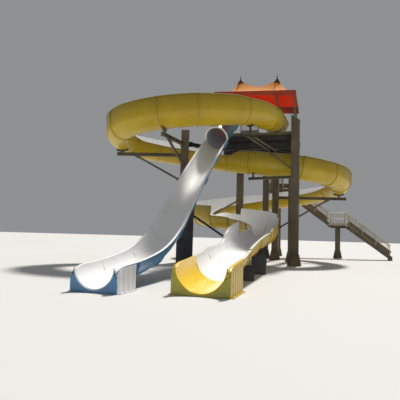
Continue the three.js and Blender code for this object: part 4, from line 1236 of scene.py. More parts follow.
def shaft(mb, c, ex, ey, w, z0, top, r=0.028, mat=0):
    """upright box column with rounded corners; top(x) gives its upper edge"""
    sec = rsec(w, w, r)
    n = len(sec)
    lo = [c + ex * p[0] + ey * p[1] + UP * z0 for p in sec]
    hi = [c + ex * p[0] + ey * p[1] + UP * top(p[0]) for p in sec]
    V = np.array(lo + hi)
    F = [[i, (i + 1) % n, n + (i + 1) % n, n + i] for i in range(n)] + [list(range(n))[::-1], [n + i for i in range(n)]]
    q = V[F[0]]
    if np.cross(q[2] - q[0], q[3] - q[1]) @ (q.mean(0) - (c + UP * (z0 + top(0)) / 2)) < 0:
        F = [g[::-1] for g in F]
    mb.add(V, F, mat)


def column(mb, c, ex, ey, w, z0, z1, flare=0.16, slant=None, mat=0, zinc=2, cap=True):
    c = np.array([c[0], c[1], 0.0])
    shaft(mb, c, ex, ey, w, z0 + 0.02, (lambda x: z1) if slant is None else slant, mat=mat)
    s, g = w / 2, flare
    # base plate on grout
    mb.frame_box(c + UP * (z0 + 0.021), (ex, ey, UP), (s + g, s + g, 0.019), 0.004, mat)
    # gusset plates, two a side, and a stiffening ring at their top
    for ax, ay in ((ex, ey), (ey, -ex), (-ex, -ey), (-ey, ex)):
        for k in (-1, 1):
            o = c + ay * k * (s - 0.06) - ay * 0.007
            poly = [o + ax * (s - 0.004) + UP * (z0 + 0.04), o + ax * (s + g - 0.012) + UP * (z0 + 0.04), o + ax * (s + g - 0.012) + UP * (z0 + 0.09),
                    o + ax * (s + 0.03) + UP * (z0 + 0.66), o + ax * (s - 0.004) + UP * (z0 + 0.66)]
            mb.plate(poly, ay * 0.014, mat)
        mb.frame_box(c + ax * (s + 0.018) + UP * (z0 + 0.668), (ay, ax, UP), (s + 0.02, 0.018, 0.007), 0.002, mat)
        # skirt plate between the two gussets
        poly = [c + ax * (s + g - 0.03) + ay * (s - 0.07) + UP * (z0 + 0.04), c + ax * (s + g - 0.03) - ay * (s - 0.07) + UP * (z0 + 0.04),
                c + ax * (s + 0.012) - ay * (s - 0.07) + UP * (z0 + 0.60), c + ax * (s + 0.012) + ay * (s - 0.07) + UP * (z0 + 0.60)]
        mb.plate(poly, ax * 0.01, mat)
    for a_ in (-1, 1):
        for b_ in (-1, 0, 1):
            for xx, yy in (((s + g - 0.055) * a_, (s + g - 0.055) * b_ if b_ else 0.0),) + ((((s + g - 0.055) * b_, (s + g - 0.055) * a_),) if b_ == 0 else ()):
                if abs(xx) < 1e-6 or abs(yy) < 1e-6:
                    continue
                q = c + ex * xx + ey * yy + UP * (z0 + 0.04)
                mb.hexhead(q, UP, 0.026, 0.022, zinc)
                mb.rod(q + UP * 0.02, q + UP * 0.062, 0.012, 8, zinc)
    if cap and slant is None:
        mb.frame_box(c + UP * (z1 + 0.006), (ex, ey, UP), (s + 0.012, s + 0.012, 0.006), 0.003, mat)
    # weld seams where lengths of the box are joined
    zz = z0 + 3.0
    top = z1 if slant is None else slant(0) - 0.3
    while zz < top - 0.8:
        sec = rsec(w + 0.008, w + 0.008, 0.03)
        mb.tube([c + ex * p[0] + ey * p[1] + UP * zz for p in sec], 0.007, 6, mat, closed=True)
        zz += 3.0


def end_plate(mb, q, d, w, h, mat=0, zinc=2, t=0.016, up=UP):
    """bolted plate on a face that looks along d"""
    d = unit(d)
    s = unit(np.cross(d, up))
    u = np.cross(s, d)
    mb.frame_box(np.asarray(q) + d * t / 2, (s, d, u), (w / 2, t / 2, h / 2), 0.003, mat)
    for a_ in (-1, 1):
        for b_ in (-1, 0, 1):
            mb.hexhead(np.asarray(q) + d * t + s * a_ * (w / 2 - 0.03) + u * b_ * (h / 2 - 0.035), d, 0.014, 0.012, zinc)


def arm(mb, a_, b_, w, h, mat=0, zinc=2, plate=True, brace=False):
    a_, b_ = np.asarray(a_, float), np.asarray(b_, float)
    mb.ibeam(a_, b_, w, h, 0.016, 0.012, mat)
    t = unit(b_ - a_)
    s, tt, u = mb.axes(a_, b_)
    L = np.linalg.norm(b_ - a_)
    # web stiffeners
    k = max(2, int(L / 0.8))
    for i in range(1, k):
        q = a_ + t * L * i / k
        mb.frame_box(q, (s, t, u), (w / 2 - 0.006, 0.005, h / 2 - 0.016), 0.002, mat)
    mb.frame_box(b_ - t * 0.006, (s, t, u), (w / 2 + 0.012, 0.008, h / 2 + 0.012), 0.003, mat)


def tube_brace(mb, a_, b_, w, mat=0, zinc=2):
    """square tube brace with gusset ends"""
    a_, b_ = np.asarray(a_, float), np.asarray(b_, float)
    t = unit(b_ - a_)
    mb.bar(a_ + t * 0.02, b_ - t * 0.02, w, w, 0.010, mat)
    s, tt, u = mb.axes(a_, b_)
    for q, sg in ((a_, 1), (b_, -1)):
        mb.frame_box(q + t * sg * 0.10, (s, t, u), (0.007, 0.17, w * 0.75), 0.003, mat)
        for k in (0.04, 0.14):
            for e in (-1, 1):
                mb.hexhead(q + t * sg * (0.05 + k) + s * e * (w / 2 + 0.001), s * e, 0.013, 0.012, zinc)


def arc_bar(mb, f, w, r0, r1, half_t, a0, a1, n=18, mat=1):
    """curved bar under a channel, between two radii about the channel's centre"""
    zc = SHELL + w / 2
    rings = []
    for k in range(n + 1):
        a_ = a0 + (a1 - a0) * k / n
        nn = f["side"] * math.sin(a_) - f["up"] * math.cos(a_)
        c = f["p"] + f["up"] * zc
        rings.append([c + nn * r0 - f["t"] * half_t, c + nn * r1 - f["t"] * half_t, c + nn * r1 + f["t"] * half_t, c + nn * r0 + f["t"] * half_t])
    V = np.array([q for ring in rings for q in ring])
    F = []
    for k in range(n):
        for i in range(4):
            j = (i + 1) % 4
            F.append([4 * k + i, 4 * k + j, 4 * k + 4 + j, 4 * k + 4 + i])
    F.append([0, 3, 2, 1])
    F.append([4 * n, 4 * n + 1, 4 * n + 2, 4 * n + 3])
    q = V[F[1 + 4 * (n // 2)]]
    a_ = a0 + (a1 - a0) * (n // 2 + 0.5) / n
    nn = f["side"] * math.sin(a_) - f["up"] * math.cos(a_)
    if np.cross(q[2] - q[0], q[3] - q[1]) @ nn < 0:
        F = [g[::-1] for g in F]
    mb.add(V, F, mat)


def saddle(mb, route, u, drop=None, ang=30, wd=0.09, deep=0.075, mat=0, zinc=2, a0=None, a1=None):
    """cradle under a channel: a curved strap on a web, with a short post down to the arm or pier"""
    f = route.at(u)
    w = route.w
    r0 = w / 2 + SHELL + 0.003
    lo = math.radians(-ang if a0 is None else a0)
    hi = math.radians(ang if a1 is None else a1)
    arc_bar(mb, f, w, r0, r0 + 0.012, wd / 2, lo, hi, mat=mat)
    arc_bar(mb, f, w, r0 + 0.012, r0 + deep, 0.007, lo * 0.94, hi * 0.94, mat=mat)
    arc_bar(mb, f, w, r0 + deep - 0.001, r0 + deep + 0.011, wd * 0.36, lo * 0.9, hi * 0.9, mat=mat)
    c = f["p"] + f["up"] * (SHELL + w / 2)
    for a_ in (lo, hi):
        nn = f["side"] * math.sin(a_ * 0.93) - f["up"] * math.cos(a_ * 0.93)
        for e in (-1, 1):
            mb.hexhead(c + nn * (r0 + 0.012) + f["t"] * e * wd * 0.3, nn, 0.014, 0.012, zinc)
    if drop is not None:
        q = f["p"] - f["up"] * (deep + 0.004)
        if q[2] - drop > 0.02:
            mb.bar([q[0], q[1], drop], q, 0.12, 0.12, 0.01, mat, up=E2)
            mb.frame_box([q[0], q[1], drop + 0.008], (E1, E2, UP), (0.11, 0.11, 0.008), 0.003, mat)
            for a_ in (-1, 1):
                for b_ in (-1, 1):
                    mb.hexhead(np.array([q[0], q[1], drop + 0.016]) + E1 * a_ * 0.085 + E2 * b_ * 0.085, UP, 0.013, 0.012, zinc)


EX, EY = np.array([1.0, 0, 0]), np.array([0, 1.0, 0])
STEELS = [M_STEEL, M_DARK, M_GALV]

# the front right column, slanted at its top
mb = Mesh()
c = T(0.24, -0.27, 0)
column(mb, c, E1, E2, 0.5, 0, 9.05, slant=lambda x: min(9.05, 8.8456 - 0.675 * (x - 0.02)))
n_ = unit(np.array([0.675, 0, 1.0]))
capn = E1 * n_[0] + UP * n_[2]
capx = E1 * n_[2] - UP * n_[0]
mb.frame_box(T(0.24, -0.27, 8.8456 + 0.0135 + 0.008), (capx, E2, capn), (0.315, 0.26, 0.008), 0.003, 0)
arm(mb, T(0.1, -0.2, 5.3), W(3.1, 27.4, 5.34), 0.14, 0.17)
saddle(mb, YELLOW, 14.5, 5.42)
tube_brace(mb, T(0.1, -0.3, 5.75), T(-1.2, -0.13, 6.76), 0.10)
# side stubs and brackets towards the deck
for z in (7.31, 7.76):
    mb.frame_box(T(-0.06, -0.14, z), (E1, E2, UP), (0.09, 0.14, 0.012), 0.003, 0)
end_plate(mb, T(0.5, -0.27, 7.2), E1, 0.26, 0.34)
piece(mb, "front_right_column_steel", STEELS, ["front_right_column"])

# the left column, inside the upper loop, on its pedestal
mb = Mesh()
column(mb, W(-0.98, 25.2, 0), EX, EY, 0.46, 3.1, 7.8, flare=0.12)
cx = W(-0.98, 25.2, 0)
arm(mb, W(-1.2, 25.22, 6.33), W(-5.0, 25.4, 6.33), 0.16, 0.2)
end_plate(mb, W(-1.21, 25.22, 6.33), -EX, 0.30, 0.36)
saddle(mb, YELLOW, 8.5, 6.43)
tube_brace(mb, W(-1.15, 25.22, 4.80), W(-3.9, 25.35, 6.27), 0.12)
arm(mb, W(-1.07, 25.0, 6.95), W(-2.1, 22.5, 6.95), 0.16, 0.2)
end_plate(mb, W(-1.1, 24.97, 6.95), -EY, 0.30, 0.36)
saddle(mb, YELLOW, 5.86, 7.0, ang=28)
tube_brace(mb, W(-1.05, 24.95, 5.70), W(-1.85, 23.2, 6.88), 0.12)
arm(mb, W(-0.98, 25.43, 5.92), W(-0.98, 28.0, 5.92), 0.16, 0.18)
end_plate(mb, W(-0.98, 25.43, 5.92), EY, 0.30, 0.36)
saddle(mb, YELLOW, 11.2, 6.0, ang=28)
tube_brace(mb, W(-0.98, 25.43, 4.70), W(-0.98, 27.0, 5.84), 0.12)
arm(mb, W(-0.88, 25.0, 4.99), W(0.5, 23.3, 5.35), 0.14, 0.18)
saddle(mb, WHITE, 3.0, None, ang=30)
piece(mb, "left_column_steel", STEELS, ["left_column"])

# pedestal: dark painted concrete with chamfers, joints and a capping
mb = Mesh()
pc = W(-0.82, 25.2, 0)
mb.frame_box(pc + UP * 1.53, (EX, EY, UP), (0.47, 0.47, 1.53), 0.03, 0)
mb.frame_box(pc + UP * 3.075, (EX, EY, UP), (0.485, 0.485, 0.025), 0.012, 0)
for z in (0.78, 1.54, 2.30):
    for ax, ay in ((EX, EY), (EY, EX), (-EX, EY), (-EY, EX)):
        mb.frame_box(pc + ax * 0.472 + UP * z, (ay, ax, UP), (0.44, 0.004, 0.011), 0.003, 0)
mb.frame_box(pc + UP * 0.04, (EX, EY, UP), (0.475, 0.475, 0.036), 0.01, 0)
piece(mb, "left_column_pedestal_block", [M_PIER], ["left_column_pedestal"])

for name, p_, q_, z_ in (("back_left_column", -3.9, 4.05, 7.08), ("back_right_column", -0.23, 4.05, 7.08),
                         ("walkway_column_right", -1.5, 5.45, 7.68), ("walkway_column_left", -2.55, 8.1, 7.68)):
    mb = Mesh()
    column(mb, T(p_, q_, 0), E1, E2, 0.46, 0, z_ - 0.014)
    if name == "back_left_column":
        tube_brace(mb, T(-4.1, 4.0, 4.14), W(1.15, 32.3, 3.3), 0.11)
        f = YELLOW.at(26.5)
        arc_bar(mb, f, YW, YW / 2 + SHELL + 0.003, YW / 2 + SHELL + 0.015, 0.08, math.radians(20), math.radians(88), mat=1)
    if name == "walkway_column_right":
        arm(mb, T(-1.3, 5.4, 4.55), W(10.55, 31.0, 4.55), 0.16, 0.2)
        end_plate(mb, T(-1.27, 5.4, 4.55), E1, 0.30, 0.36)
        tube_brace(mb, T(-1.3, 5.42, 2.3), W(9.3, 31.05, 4.46), 0.12)
        saddle(mb, YELLOW, 18.95, 4.65)
    if name == "walkway_column_left":
        arm(mb, T(-2.55, 8.3, 3.62), W(5.0, 36.9, 3.62), 0.16, 0.18)
        end_plate(mb, T(-2.55, 8.33, 3.62), E2, 0.30, 0.34)
        saddle(mb, YELLOW, 23.0, None)
    piece(mb, name + "_steel", STEELS, [name])

# struts and the tie beam
mb = Mesh()
a_, b_ = W(-0.66, 25.3, 7.02), T(-4.85, 0.35, 7.2)
mb.ibeam(a_, b_, 0.18, 0.22, 0.016, 0.012, 1)
for q, d in ((a_, b_ - a_), (b_, a_ - b_)):
    d = unit(d)
    mb.frame_box(q + d * 0.01, (unit(np.cross(d, UP)), d, UP), (0.12, 0.009, 0.15), 0.003, 1)
piece(mb, "tie_beam_steel", STEELS, ["tie_beam"])
mb = Mesh()
tube_brace(mb, T(-0.95, -0.02, 6.95), W(2.85, 24.1, 7.38), 0.09)
tube_brace(mb, T(-1.35, -0.02, 6.95), W(2.45, 23.9, 7.36), 0.09)
mb.bar(W(2.2, 23.81, 7.335), W(3.1, 24.21, 7.37), 0.09, 0.12, 0.01, 1)
saddle(mb, YELLOW, 3.05, 7.42, ang=17, mat=1)
piece(mb, "front_run_struts_steel", STEELS, ["front_run_struts"])
mb = Mesh()
a_, b_ = W(-0.32, 25.2, 2.74), W(3.38, 25.5, 0.36)
mb.bar(a_, b_, 0.1, 0.12, 0.012, 1)
end_plate(mb, W(-0.34, 25.2, 2.74), EX, 0.24, 0.3, 1)
end_plate(mb, W(3.44, 25.5, 0.34), -EX, 0.24, 0.3, 1)
piece(mb, "final_turn_strut_steel", STEELS, ["final_turn_strut"])

# piers with the cradles that carry the last turn and run
for name, x0, x1, y0, y1, z_, u in (("final_turn_pier", 3.45, 4.0, 25.3, 25.85, 1.40, 31.05), ("run_pier_upper", 2.4, 3.0, 19.1, 19.65, 0.88, 33.5),
                                    ("run_pier_lower", 1.66, 2.12, 16.2, 16.65, 0.56, 34.75)):
    mb = Mesh()
    c = W((x0 + x1) / 2, (y0 + y1) / 2, 0)
    mb.frame_box(c + UP * (z_ / 2 - 0.01), (EX, EY, UP), ((x1 - x0) / 2 - 0.004, (y1 - y0) / 2 - 0.004, z_ / 2 - 0.012), 0.022, 0)
    mb.frame_box(c + UP * (z_ - 0.015), (EX, EY, UP), ((x1 - x0) / 2 - 0.06, (y1 - y0) / 2 - 0.06, 0.014), 0.004, 2)
    for a1_ in (-1, 1):
        for b1_ in (-1, 1):
            mb.hexhead(c + EX * a1_ * ((x1 - x0) / 2 - 0.10) + EY * b1_ * ((y1 - y0) / 2 - 0.10) + UP * (z_ - 0.001), UP, 0.02, 0.018, 3)
    saddle(mb, YELLOW, u, None, ang=40, wd=0.14, deep=0.06, mat=2, zinc=3)
    piece(mb, name + "_block", [M_PIER, M_STEEL, M_DARK, M_GALV], [name])

# ------------------------------------------------------------------------ deck
mb = Mesh()
BEAM_Z, JOIST_Z = 7.31, 7.73
for q_ in (0.12, 2.15, DECK_D - 0.12):
    mb.ibeam(T(-DECK_W + 0.02, q_, BEAM_Z), T(DECK_R - 0.02, q_, BEAM_Z), 0.2, 0.458, 0.018, 0.012, 0)
    for p_ in np.arange(-4.3, 0.2, 0.72):
        mb.frame_box(T(p_, q_, BEAM_Z), (E1, E2, UP), (0.005, 0.09, 0.208), 0.002, 0)
for p_ in (-DECK_W + 0.1, -3.15, -1.6, DECK_R - 0.1):
    mb.ibeam(T(p_, 0.055, JOIST_Z + 0.02), T(p_, DECK_D - 0.055, JOIST_Z + 0.02), 0.16, 0.40, 0.012, 0.010, 0)
    for q_ in (0.12, 2.15, DECK_D - 0.12):
        for e in (-1, 1):
            for g in (-1, 1):
                mb.hexhead(T(p_ + e * 0.055, q_ + g * 0.055, BEAM_Z + 0.232), UP, 0.012, 0.012, 1)
for p_ in np.arange(-4.2, 0.0, 0.5):
    if min(abs(p_ - x) for x in (-3.15, -1.6)) > 0.2:
        mb.channel_bar(T(p_, 0.06, 7.88), T(p_, DECK_D - 0.06, 7.88), 0.05, 0.14, 0.006, 0)
# edge plates round the frame
for a_, b_ in (((-DECK_W, 0.025), (DECK_R, 0.025)), ((DECK_R - 0.025, 0.05), (DECK_R - 0.025, DECK_D - 0.05)), ((DECK_R, DECK_D - 0.025), (-DECK_W, DECK_D - 0.025)), ((-DECK_W + 0.025, DECK_D - 0.05), (-DECK_W + 0.025, 0.05))):
    mb.channel_bar(T(*a_, 7.77), T(*b_, 7.77), 0.048, 0.376, 0.007, 2, flip=1)
for q_, sg in ((0.0, -1), (DECK_D, 1)):
    for p_ in np.arange(-4.5, 0.2, 0.45):
        mb.hexhead(T(p_, q_ + sg * 0.001, 7.72), E2 * sg, 0.012, 0.010, 1)
for p_, sg in ((-DECK_W, -1), (DECK_R, 1)):
    for q_ in np.arange(0.25, DECK_D, 0.45):
        mb.hexhead(T(p_ + sg * 0.001, q_, 7.72), E1 * sg, 0.012, 0.010, 1)
# bracing in the plane of the beams
for (p0, q0, p1, q1) in ((-4.6, 0.22, -3.2, 2.05), (-3.1, 0.22, -1.7, 2.05), (-1.5, 0.22, 0.1, 2.05), (-4.6, 4.08, -3.2, 2.25), (-3.1, 4.08, -1.7, 2.25), (-1.5, 4.08, 0.1, 2.25)):
    mb.bar(T(p0, q0, 7.14), T(p1, q1, 7.14), 0.05, 0.006, 0.002, 0)
    mb.bar(T(p0, q0, 7.165), T(p1, q1, 7.165), 0.006, 0.05, 0.002, 0)
piece(mb, "deck_frame_beams", [M_DARK, M_GALV, M_DARK], ["deck_frame"])

mb = Mesh()
W0 = -DECK_W + 0.03
n = 24
pw = (DECK_W + DECK_R - 0.06) / n
rng = random.Random(7)
for i in range(n):
    a_ = W0 + pw * i
    dz = rng.uniform(-0.0012, 0.0012)
    mb.box((a_ + 0.003, 0.03, DECK_Z - 0.046), (a_ + pw - 0.003, DECK_D - 0.03, DECK_Z - 0.001 + dz), 0.004, 0, True)
    for k in range(5):
        x = a_ + pw * (k + 0.5) / 5
        mb.box((x - 0.006, 0.035, DECK_Z - 0.002), (x + 0.006, DECK_D - 0.035, DECK_Z + 0.003), 0.002, 0, True)
for q_ in np.arange(0.15, DECK_D, 0.5):
    mb.box((W0, q_ - 0.03, 7.962), (DECK_R - 0.03, q_ + 0.03, DECK_Z - 0.047), 0.004, 1, True)
# edge trims round the boards
for a_, b_ in (((-DECK_W, 0.012), (DECK_R, 0.012)), ((DECK_R - 0.012, 0), (DECK_R - 0.012, DECK_D)), ((DECK_R, DECK_D - 0.012), (-DECK_W, DECK_D - 0.012)), ((-DECK_W + 0.012, DECK_D), (-DECK_W + 0.012, 0))):
    mb.bar(T(*a_, 8.041), T(*b_, 8.041), 0.02, 0.156, 0.004, 2)
for q_, sg in ((0.0, -1), (DECK_D, 1)):
    for p_ in np.arange(-4.28, 0.2, 0.45):
        mb.hexhead(T(p_, q_ + sg * 0.001, 8.02), E2 * sg, 0.012, 0.010, 3)
for p_, sg in ((-DECK_W, -1), (DECK_R, 1)):
    for q_ in np.arange(0.45, DECK_D, 0.45):
        mb.hexhead(T(p_ + sg * 0.001, q_, 8.02), E1 * sg, 0.012, 0.010, 3)
piece(mb, "deck_floor_boards", [M_DECK, M_DARK, M_FASCIA, M_GALV], ["deck_floor"])

mb = Mesh()
y0 = DECK_D + 0.004
for p_, fl in ((-2.51, 1), (-1.49, -1)):
    mb.channel_bar(T(p_, y0, 7.85), T(p_, WALK_Q, 7.85), 0.08, 0.34, 0.010, 1, flip=fl)
for q_ in (4.4, 5.47, 6.3, 7.2, 8.07, 8.82):
    mb.ibeam(T(-2.46, q_, 7.82), T(-1.54, q_, 7.82), 0.10, 0.2, 0.010, 0.008, 1)
    for e in (-1, 1):
        for z in (7.76, 7.88):
            mb.hexhead(T(-2.0 + e * 0.551, q_, z), E1 * e, 0.012, 0.010, 2)
L = WALK_Q - y0
n = 24
for i in range(n):
    a_ = y0 + L * i / n
    mb.box((-2.54, a_ + 0.003, 8.02), (-1.46, a_ + L / n - 0.003, DECK_Z - 0.001 + rng.uniform(-0.0012, 0.0012)), 0.004, 0, True)
    for k in range(4):
        y = a_ + (L / n) * (k + 0.5) / 4
        mb.box((-2.53, y - 0.006, DECK_Z - 0.002), (-1.47, y + 0.006, DECK_Z + 0.003), 0.002, 0, True)
for p_ in (-2.544, -1.456):
    mb.bar(T(p_, y0, 8.07), T(p_, WALK_Q, 8.07), 0.012, 0.10, 0.003, 3)
piece(mb, "walkway_beams_and_boards", [M_DECK, M_STEEL, M_GALV, M_FASCIA], ["walkway"])


# ---------------------------------------------------------------------- guards
def guard(mb, a_, b_, h=1.07, gap=1.3, sloped=False, sink=0.0, mat=0, zinc=1, mesh=True, panel=None, foot=True, kick=None, pickets=False):
    """posts, rails and a welded infill between the feet a_ and b_"""
    a_, b_ = np.asarray(a_, float), np.asarray(b_, float)
    d = b_ - a_
    L = float(np.linalg.norm(d))
    n = max(2, int(round(L / gap)) + 1)
    t = unit(d)
    th = unit([t[0], t[1], 0.0])
    s = np.array([th[1], -th[0], 0.0])
    for i in range(n):
        q = a_ + d * (0.02 + 0.96 * i / (n - 1))
        mb.frame_box(q + UP * (h / 2 - (sink if sloped else 0) / 2), (s, th, UP), (0.025, 0.025, (h + (sink if sloped else 0)) / 2), 0.006, mat)
        if foot and not sloped:
            mb.frame_box(q + UP * 0.009, (s, th, UP), (0.055, 0.055, 0.006), 0.002, mat)
            for e in (-1, 1):
                for g in (-1, 1):
                    mb.hexhead(q + UP * 0.015 + s * e * 0.04 + th * g * 0.04, UP, 0.009, 0.008, zinc)
        elif sloped:
            for e in (0.04, 0.12):
                mb.hexhead(q + UP * e + s * 0.026, s, 0.010, 0.009, zinc)
                mb.hexhead(q + UP * e - s * 0.026, -s, 0.010, 0.009, zinc)
    mb.tube([a_ + UP * h - t * 0.02, a_ + UP * h - t * 0.012, b_ + UP * h + t * 0.012, b_ + UP * h + t * 0.02], 0.030, 12, mat, radii=[0.022, 0.030, 0.030, 0.022])
    mb.tube([a_ + UP * h * 0.54, b_ + UP * h * 0.54], 0.019, 8, mat)
    lowz = 0.13 if not sloped else 0.12
    if not sloped:
        mb.bar(a_ + UP * 0.13, b_ + UP * 0.13, 0.014, 0.15, 0.004, mat)
    else:
        mb.tube([a_ + UP * lowz, b_ + UP * lowz], 0.016, 8, mat)
    if panel is not None:
        mb.bar(a_ + UP * (h * 0.30) + t * 0.03, b_ + UP * (h * 0.30) - t * 0.03, 0.006, h * 0.42, 0.002, panel)
        mb.bar(a_ + UP * (h * 0.76) + t * 0.03, b_ + UP * (h * 0.76) - t * 0.03, 0.006, h * 0.38, 0.002, panel)
        for i in range(n - 1):
            m_ = a_ + d * (0.02 + 0.96 * (i + 0.5) / (n - 1))
            for z in (h * 0.30, h * 0.76):
                for e in (-0.4, 0.4):
                    for g in (-1, 1):
                        mb.hexhead(m_ + t * e * L / (n - 1) * 0.9 + UP * (z + 0.12) + s * g * 0.003, s * g, 0.008, 0.006, zinc)
    if kick is not None:
        m0, m1 = UP * 0.33, 0.46 * float(np.linalg.norm(t[:2]))
        mb.bar(a_ + m0 + t * 0.03, b_ + m0 - t * 0.03, 0.008, m1, 0.002, kick)
        for i in range(int(L / 0.5) + 1):
            q = a_ + t * (0.15 + i * 0.5)
            if np.linalg.norm(q - a_) < L - 0.1:
                for e in (0.14, 0.52):
                    for g in (-1, 1):
                        mb.hexhead(q + UP * e + s * g * 0.004, s * g, 0.009, 0.006, zinc)
    if pickets:
        k = max(3, int(round(L / 0.115)))
        for i in range(k + 1):
            q = a_ + d * (i + 0.5) / (k + 1)
            mb.prism(q + UP * 0.2, q + UP * (h - 0.02), [(-0.010, -0.010), (0.010, -0.010), (0.010, 0.010), (-0.010, 0.010)], mat, up=th)
    elif mesh:
        k = max(3, int(L / 0.075))
        for i in range(k + 1):
            q = a_ + d * (i + 0.5) / (k + 1)
            mb.prism(q + UP * (lowz if sloped else 0.2), q + UP * (h - 0.02), [(-0.004, -0.004), (0.004, -0.004), (0.004, 0.004), (-0.004, 0.004)], mat, up=th)
        for e in (0.30, 0.42, 0.68, 0.80, 0.92):
            mb.prism(a_ + UP * h * e, b_ + UP * h * e, [(-0.003, -0.003), (0.003, -0.003), (0.003, 0.003), (-0.003, 0.003)], mat)


def P3(p, q, z=DECK_Z + 0.001):
    return T(p, q, z)


GM = [M_GRD, M_GALV, M_STEEL]
mb = Mesh()
guard(mb, P3(-3.2, 0.06), P3(-2.05, 0.06), pickets=True)
piece(mb, "deck_guard_front_rails", GM, ["deck_guard_front"])
mb = Mesh()
guard(mb, P3(-DECK_W + 0.06, 0.35), P3(-DECK_W + 0.06, DECK_D - 0.06))
guard(mb, P3(-DECK_W + 0.06, DECK_D - 0.06), P3(-2.62, DECK_D - 0.06))
piece(mb, "deck_guard_left_rails", GM, ["deck_guard_left"])
mb = Mesh()
guard(mb, P3(DECK_R - 0.06, 0.12), P3(DECK_R - 0.06, DECK_D - 0.06))
guard(mb, P3(DECK_R - 0.06, DECK_D - 0.06), P3(-1.38, DECK_D - 0.06))
piece(mb, "deck_guard_right_rails", GM, ["deck_guard_right"])
mb = Mesh()
guard(mb, P3(-2.5, DECK_D + 0.04), P3(-2.5, WALK_Q - 0.03))
piece(mb, "walkway_guard_left_rails", GM, ["walkway_guard_left"])
mb = Mesh()
guard(mb, P3(-1.5, DECK_D + 0.04), P3(-1.5, WALK_Q - 0.03))
piece(mb, "walkway_guard_right_rails", GM, ["walkway_guard_right"])


# ---------------------------------------------------------------------- stairs
def flight_mesh(mb, d, s0, s1, c0, c1, z0, z1, foot, links=()):
    n = int(round((z1 - z0) / 0.2))
    rise, run = (z1 - z0) / n, (s1 - s0) / n

    def at(s, c, z):
        return T(s, c, z) if d == "p" else T(c, s, z)

    A = (E1, E2) if d == "p" else (E2, E1)
    dirn = A[0] * (1 if run > 0 else -1)
    for i in range(1, n):
        s = s0 + run * (i - 0.5)
        z = z0 + rise * i
        c = at(s, (c0 + c1) / 2, z)
        hw = (c1 - c0) / 2 - 0.062
        ax = (A[0], A[1], UP)
        mb.frame_box(c - UP * 0.008, ax, (abs(run) * 0.50, hw, 0.007), 0.002, 1)
        mb.frame_box(c - UP * 0.028 - dirn * abs(run) * 0.49, ax, (0.006, hw, 0.026), 0.002, 1)
        mb.frame_box(c - UP * 0.022 + dirn * abs(run) * 0.49, ax, (0.005, hw, 0.018), 0.002, 1)
        for k in range(5):
            mb.frame_box(c - dirn * abs(run) * (0.36 - 0.18 * k) + UP * 0.001, ax, (0.005, hw - 0.02, 0.003), 0.001, 1)
        for e in (-1, 1):
            q = c + A[1] * e * (hw + 0.004) - UP * 0.04
            mb.frame_box(q, ax, (abs(run) * 0.36, 0.006, 0.028), 0.002, 0)
            for g in (-0.6, 0.6):
                mb.hexhead(c + A[1] * e * ((c1 - c0) / 2 + 0.0005) - UP * 0.04 + dirn * abs(run) * 0.36 * g, A[1] * e, 0.010, 0.009, 2)
    for c in (c0, c1):
        e = 0.03 if c == c0 else -0.03
        sg = -1 if c == c0 else 1
        p0, p1 = at(s0 + run * 0.35, c + e, z0 + 0.10), at(s1 - run * 0.05, c + e, z1 - 0.12)
        sd = unit(np.cross(unit(p1 - p0), UP))
        mb.channel_bar(p0, p1, 0.06, 0.26, 0.009, 0, flip=1 if sd @ (A[1] * sg) < 0 else -1)
        if foot:
            q = at(s0 + run * 0.5, c + e, 0)
            mb.frame_box(q + UP * (z0 + 0.15) / 2, (A[0], A[1], UP), (0.11, 0.05, (z0 + 0.15) / 2), 0.004, 0)
            mb.frame_box(q + UP * 0.010, (A[0], A[1], UP), (0.15, 0.09, 0.009), 0.003, 0)
            for a_ in (-1, 1):
                for b_ in (-1, 1):
                    mb.hexhead(q + A[0] * a_ * 0.125 + A[1] * b_ * 0.068 + UP * 0.018, UP, 0.014, 0.012, 2)
        guard(mb, at(s0 + run * 0.6, c + e, z0 + 0.14), at(s1 - run * 0.3, c + e, z1 - 0.06), 1.0, 1.5, True, 0.02, mat=3, zinc=2, kick=0)
        # hanger plates between the string and the frame of the landing
        uu = 1 if run > 0 else -1
        ends = [(at(s1 + uu * 0.035, c + e, z1 - 0.13), 0.075)]
        if not foot:
            ends.append((at(s0 + uu * 0.065, c + e, z0 - 0.05), 0.085))
        for q, ln in ends:
            mb.frame_box(q, (A[0], A[1], UP), (ln, 0.007, 0.08), 0.002, 0)
            for g in (-1, 1):
                for h in (-1, 1):
                    mb.hexhead(q + A[0] * g * (ln - 0.025) + A[1] * sg * 0.0065 + UP * h * 0.045, A[1] * sg, 0.011, 0.009, 2)
        # short rails that lead over to the guards of the landing
        k = 0 if c == c0 else 1
        for top, a_, b_ in (("T%d" % k, at(s1 - run * 0.3, c + e, z1 - 0.06), at(s1 + uu * 0.13, c + sg * 0.09, z1 + 0.001)),
                            ("F%d" % k, at(s0 + run * 0.6, c + e, z0 + 0.14), at(s0 - uu * 0.04, c + sg * 0.09, z0 + 0.001))):
            if top in links:
                mb.tube([a_ + UP * 1.0, (a_ + b_) / 2 + UP * 1.04, b_ + UP * 1.07], 0.020, 10, 3)
                mb.tube([a_ + UP * 0.54, b_ + UP * 0.578], 0.017, 8, 3)


